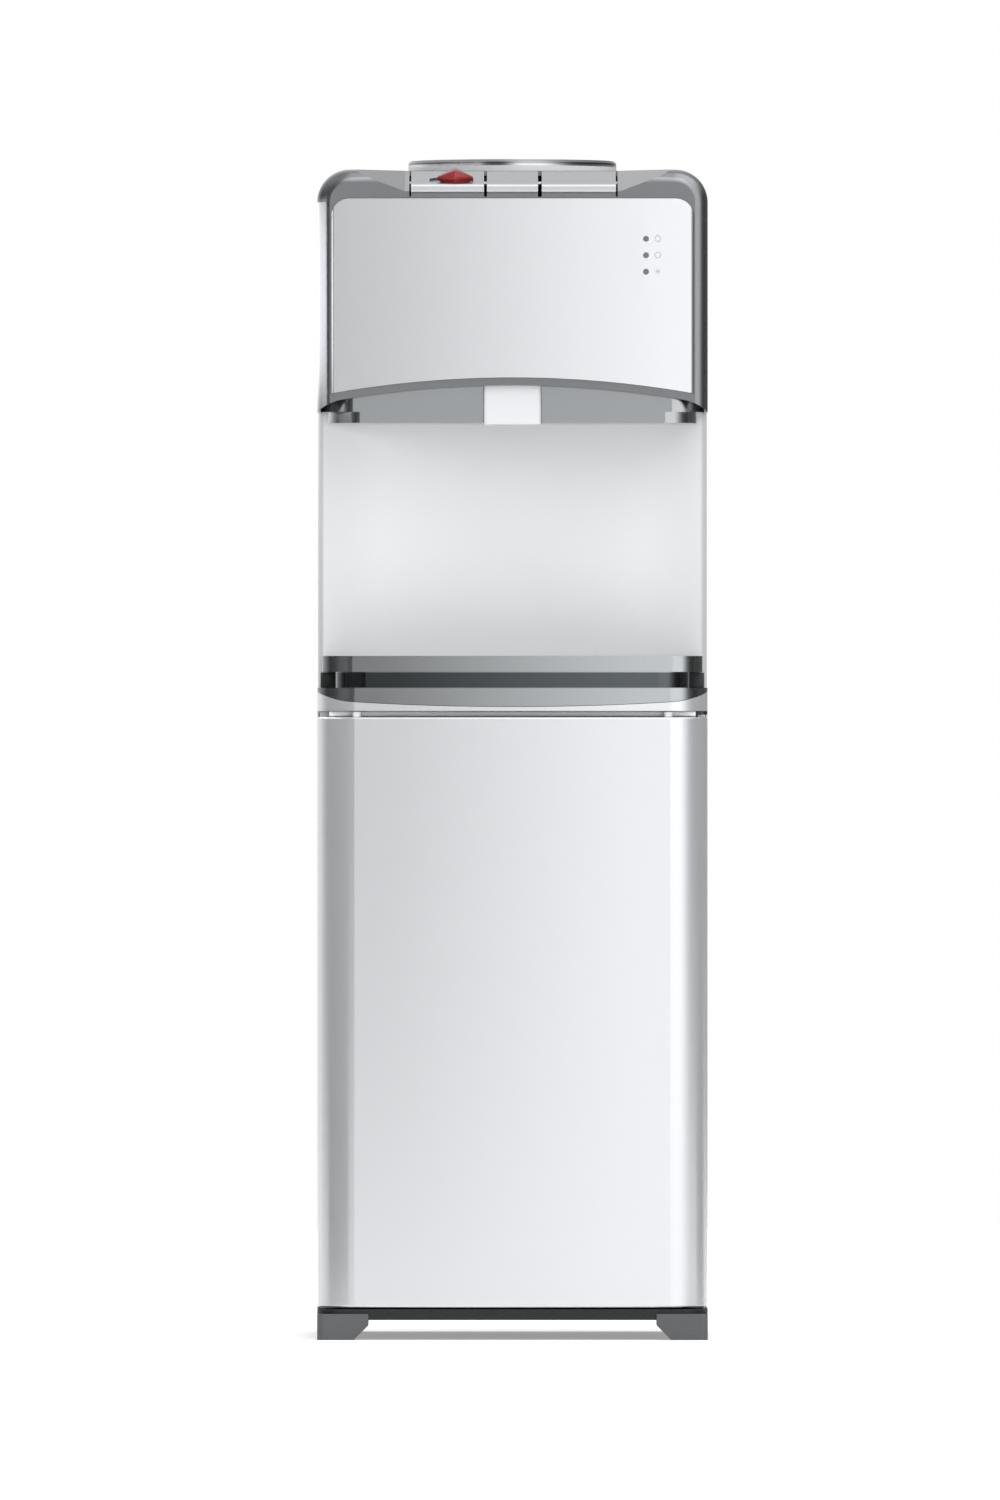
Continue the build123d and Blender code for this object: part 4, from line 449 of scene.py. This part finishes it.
for mark_name, mark_z, corners, shape in (("hot_mark", 0.9015, 24, drop_shape),
                                          ("warm_mark", 0.8882, 24, ring_shape),
                                          ("cold_mark", 0.8749, 12, star_shape)):
    middle = (PRINT_X, PRINT_Y, mark_z)
    bpy.ops.mesh.primitive_circle_add(vertices=corners, radius=PRINT_RADIUS, fill_type="NGON",
                                      location=middle,
                                      rotation=(math.radians(90), 0, math.radians(PRINT_TURN)))
    mark = bpy.context.object
    bpy.ops.object.mode_set(mode="EDIT")
    shape(middle)
    bpy.ops.object.mode_set(mode="OBJECT")
    ink = mark.modifiers.new("ink", "SOLIDIFY")
    ink.thickness, ink.offset = INK, 0
    bpy.ops.object.modifier_apply(modifier=ink.name)
    settle(mark, mark_name, "cabinet", ink_grey)


# Door-top seal: a soft grey strip in the gap under the apron, which keeps splashes out of the cabinet.
# It is extruded rubber with a bead along its front, glued to the apron.
SEAL_SPOT, SEAL_SIZE = (0, -0.15175, 0.5126), (0.300, 0.0095, 0.0042)
SEAL_BEAD, SEAL_BEVEL = 0.0010, 0.0003


def new_block(spot, size):
    """A box of a given size, left in edit mode."""
    bpy.ops.mesh.primitive_cube_add(size=1, location=spot)
    block = bpy.context.object
    block.scale = size
    bpy.ops.object.transform_apply(scale=True)
    bpy.ops.object.mode_set(mode="EDIT")
    return block


def round_edges(offset, segments):
    """Bevel every edge of the mesh in edit mode, and leave that mode."""
    bpy.ops.mesh.select_all(action="SELECT")
    bpy.ops.mesh.bevel(offset=offset, segments=segments, affect="EDGES")
    bpy.ops.object.mode_set(mode="OBJECT")


seal = new_block(SEAL_SPOT, SEAL_SIZE)
pick("FACE", lambda face: face.normal.y < -0.9)
bpy.ops.mesh.inset(thickness=SEAL_BEAD)
bpy.ops.transform.translate(value=(0, -SEAL_BEAD, 0))
round_edges(SEAL_BEVEL, 2)
seal_grey = moulded_plastic("seal_grey", (0.85, 0.86, 0.87), 0.6, 700, 0.3)
settle(seal, "door_top_seal", "cabinet", seal_grey)


# Door bumpers: two pale soft buttons that keep the door's top edge off the apron; their white is a painted
# highlight where the door's rounded corners begin.
# They are moulded with a shallow dish on top and pressed into holes of the door.
BUMPER_SPOT, BUMPER_RADIUS, BUMPER_HEIGHT = Vector((-0.1276, -0.1612, 0.5122)), 0.0036, 0.0044
DISH_RIM, DISH_DEPTH, BUMPER_BEVEL = 0.0010, 0.0003, 0.0003


def settle_pair(piece, spot, name, body, material):
    """Copy a piece from its spot at the left to the same spot at the right, and settle both."""
    only_select(piece)
    bpy.ops.object.duplicate()
    twin = bpy.context.object
    bpy.ops.transform.translate(value=(-2 * spot.x, 0, 0))
    settle(piece, "left_" + name, body, material)
    settle(twin, "right_" + name, body, material)


bpy.ops.mesh.primitive_cylinder_add(vertices=32, radius=BUMPER_RADIUS, depth=BUMPER_HEIGHT,
                                    location=BUMPER_SPOT)
bumper = bpy.context.object
bpy.ops.object.mode_set(mode="EDIT")
pick("FACE", lambda face: face.normal.z > 0.9)
bpy.ops.mesh.inset(thickness=DISH_RIM)
bpy.ops.transform.translate(value=(0, 0, -DISH_DEPTH))
round_edges(BUMPER_BEVEL, 2)
# Painted highlight: the buttons' near-white stands in for a bright tick in the dark gap.
bumper_highlight_white = moulded_plastic("bumper_highlight_white", (0.86, 0.87, 0.88), 0.45, 700, 0.1)
settle_pair(bumper, BUMPER_SPOT, "bumper", "door", bumper_highlight_white)


# Tray buffers: dark rubber blocks pressed into the back ends of the tray's side grooves; their near-black is
# a painted shade that carries the groove's dark out to the tray's edges.
# They stop the tray softly against the splash-back when it is pushed home.
BUFFER_SPOT = Vector((-0.1510, -0.0660, 0.5404))
BUFFER_SIZE, BUFFER_BEVEL = (0.0135, 0.0160, 0.0126), 0.0008
tray_buffer = new_block(BUFFER_SPOT, BUFFER_SIZE)
round_edges(BUFFER_BEVEL, 3)
# Painted shade: near-black blocks where the groove's ends would lie in shade.
buffer_shade_grey = moulded_plastic("buffer_shade_grey", (0.045, 0.047, 0.05), 0.6, 700, 0.3)
settle_pair(tray_buffer, BUFFER_SPOT, "tray_buffer", "drip_tray", buffer_shade_grey)


# Foam jackets: shells of expanded beads round the tanks, with the beads showing.
# They are steam-moulded and fit the tanks closely.
BEAD_SCALE = 260.0
foam, place, feed = new_finish("foam", Roughness=0.85)
bead = place.make("TexVoronoi", {}, {"Vector": place, "Scale": BEAD_SCALE})
feed("Base Color", bead.blend((0.80, 0.79, 0.75), (0.66, 0.65, 0.61)))
feed("Normal", bead.bump(0.5, 0.001, invert=True))
dress(foam, "cold_jacket", "hot_jacket")


# Water tubes: milky silicone, a little translucent.
# They are cut from a roll and pushed onto the tank and valve spigots.
silicone = moulded_plastic("silicone", (0.62, 0.63, 0.63), 0.45, 500, 0.08, Subsurface_Weight=0.2)
dress(silicone, "water_tubes")


# Refrigerant pipes, drier and evaporator: drawn copper, dulled by handling.
# The pipes are bent from one length each and brazed at their ends.
copper, place, feed = new_finish("copper", Metallic=1.0)
tarnish = place.noise(60, 4.0)
feed("Base Color", tarnish.blend((0.62, 0.30, 0.17), (0.36, 0.17, 0.11)))
feed("Roughness", 0.25 + 0.25 * tarnish)
dress(copper, "refrigerant_pipes", "filter_drier", "evaporator")


# Capillary: a thin copper tube from the drier, wound in three turns and led up behind the back panel.
# It is drawn tube, brazed into the drier's tip.
DRIER_TIP, TIP_DROP, COIL_DROP = Vector((-0.108, 0.120, 0.0705)), Vector((0, 0, 0.006)), 0.010
COIL_RADIUS, COIL_TURNS, COIL_STEPS, COIL_PITCH = 0.014, 3, 12, 0.0036
CLIMB = ((-0.118, 0.112, 0.052), (-0.128, 0.112, 0.075), (-0.131, 0.118, 0.130),
         (-0.131, 0.128, 0.190), (-0.130, 0.131, 0.235), (-0.130, 0.131, 0.262))
CAPILLARY_RADIUS = 0.0011
coil_axis = DRIER_TIP + Vector((COIL_RADIUS, 0, -COIL_DROP))
route = [DRIER_TIP, DRIER_TIP - TIP_DROP]
for step in range(COIL_TURNS * COIL_STEPS + 1):
    turn = math.pi + 2 * math.pi * step / COIL_STEPS
    route.append(coil_axis + Vector((COIL_RADIUS * math.cos(turn), COIL_RADIUS * math.sin(turn),
                                     -COIL_PITCH * step / COIL_STEPS)))
route += CLIMB
bpy.ops.object.select_all(action="DESELECT")
bpy.ops.curve.primitive_nurbs_path_add()
capillary = bpy.context.object
spline = capillary.data.splines[0]
spline.points.add(len(route) - len(spline.points))
for point, spot in zip(spline.points, route):
    point.co = (*spot, 1)
spline.use_endpoint_u, spline.order_u, spline.resolution_u = True, 3, 4
capillary.data.bevel_depth, capillary.data.bevel_resolution = CAPILLARY_RADIUS, 2
capillary.data.use_fill_caps = True
bpy.ops.object.convert(target="MESH")
settle(bpy.context.object, "capillary", "cabinet", copper)


# Compressor, condenser and hinges: steel under thick black enamel, with a sagging gloss.
# The enamel is dipped and baked. The hinges' pins stand on the base plate and under the tray storey.
black_enamel = moulded_plastic("black_enamel", (0.014, 0.014, 0.016), 0.32, 300, 0.15, Coat_Weight=0.3)
dress(black_enamel, "door_hinges", "compressor", "condenser_tube", "condenser_wires")


# Control board: green lacquered board with paler tracks, behind the front panel.
# It stands on the panel's bosses and carries the lamps' lights.
BOARD_DARK, BOARD_GREEN, TRACK_GREEN = (0.02, 0.12, 0.05, 1), (0.03, 0.16, 0.07, 1), (0.05, 0.22, 0.10, 1)
board_green, place, feed = new_finish("board_green", Roughness=0.4)
feed("Base Color", place.make("TexBrick", {}, {"Vector": place, "Scale": 160.0, "Color1": BOARD_DARK,
                                               "Color2": BOARD_GREEN, "Mortar": TRACK_GREEN}))
dress(board_green, "control_board")


# Studio ground: a wide white floor that glows a little, so that it fades into the white behind it.
FLOOR_SIZE = 9
bpy.ops.mesh.primitive_plane_add(size=FLOOR_SIZE)
floor = bpy.context.object
floor.name = "floor"
floor_white, place, feed = new_finish("floor_white", Roughness=0.9, Emission_Color=(1, 1, 1, 1),
                                      Emission_Strength=0.3)
feed("Base Color", place.noise(3.0).blend((0.93, 0.93, 0.93), (0.95, 0.95, 0.95)))
floor.data.materials.append(floor_white)


# Studio lights: a large soft box high in front, a long one that lights the head's left edge, and a weak one
# low in front that fills the cup niche and is not seen in reflections.
def soft_box(name, spot, target, width, height, power):
    bpy.ops.object.light_add(type="AREA", location=spot)
    lamp = bpy.context.object
    lamp.name = name
    lamp.data.shape = "RECTANGLE"
    lamp.data.size, lamp.data.size_y, lamp.data.energy = width, height, power
    lamp.rotation_euler = (Vector(target) - Vector(spot)).to_track_quat("-Z", "Y").to_euler()
    return lamp


soft_box("key_box", spot=(0.2, -2.9, 2.4), target=(0, 0, 0.6), width=1.6, height=1.6, power=9.5)
soft_box("left_head_box", spot=(-0.62, 0.0, 0.87), target=(0, 0, 0.87), width=1.9, height=0.17, power=4.2)
niche_box = soft_box("niche_box", spot=(-0.1, -1.0, 0.20), target=(0, -0.06, 0.70),
                     width=0.8, height=0.2, power=0.25)
niche_box.visible_glossy = False


# Studio cards: two dark upright cards beside the object, which darken the door's rounded corners.
# Only reflections see them, so they throw no shadow.
card_black, place, feed = new_finish("card_black", Roughness=0.9)
feed("Base Color", place.noise(3.0).blend((0.12, 0.12, 0.12), (0.14, 0.14, 0.14)))
for card_name, spot, turn, width, height in (("left_card", (-0.56, -0.44, 0.3925), -55, 0.70, 0.785),
                                             ("right_card", (0.69, 0.05, 0.39), 90, 0.38, 0.78)):
    bpy.ops.mesh.primitive_plane_add(size=1, location=spot,
                                     rotation=(math.radians(90), 0, math.radians(turn)))
    card = bpy.context.object
    card.name = card_name
    card.scale = (width, height, 1)
    card.data.materials.append(card_black)
    card.visible_camera = card.visible_diffuse = card.visible_shadow = False


# Studio surroundings: white to the camera. Reflections and light see a bright screen to the right, a dimmer
# one behind, a soft glow from above and almost nothing at the left.
DARK_GLOW, RIGHT_GLOW, BACK_GLOW, TOP_GLOW = 0.05, 1.58, 0.85, 0.6
world = bpy.data.worlds.new("studio")
bpy.context.scene.world = world
world.use_nodes = True
sky = world.node_tree
way = Wire(sky, sky.nodes.new("ShaderNodeTexCoord").outputs["Generated"])
across, along, up = way.axes()
right_screen = ease(across, -0.18, 0.16) * (1 - ease(across, 0.55, 1.0)) * (1 - ease(along, -0.2, 0.3))
back_screen = ease(along, 0.0, 0.8) * (1 - 0.85 * ease(across, -0.1, 0.6))
top_screen = ease(up, 0.2, 0.8)
glow = DARK_GLOW + RIGHT_GLOW * right_screen + BACK_GLOW * back_screen + TOP_GLOW * top_screen
seen = way.make("LightPath", out="Is Camera Ray")
sky.links.new((seen + (1 - seen) * glow).socket, sky.nodes["Background"].inputs["Strength"])
sky.nodes["Background"].inputs["Color"].default_value = (1, 1, 1, 1)
bpy.context.scene.view_settings.view_transform = "Standard"


# Camera: square in front at the height of the middle, far off, so that lines stay parallel.
FRONT, MIDDLE_X, MIDDLE_Z = -0.17, -0.0102, 0.483
DISTANCE, SEEN_HEIGHT, SENSOR_HEIGHT, CLIP_END = 20.0, 1.2276, 36, 200
bpy.ops.object.camera_add(location=(MIDDLE_X, FRONT - DISTANCE, MIDDLE_Z), rotation=(math.radians(90), 0, 0))
camera = bpy.context.object
camera.data.sensor_fit = "VERTICAL"
camera.data.sensor_height = SENSOR_HEIGHT
camera.data.lens = SENSOR_HEIGHT * DISTANCE / SEEN_HEIGHT
camera.data.clip_end = CLIP_END
bpy.context.scene.camera = camera
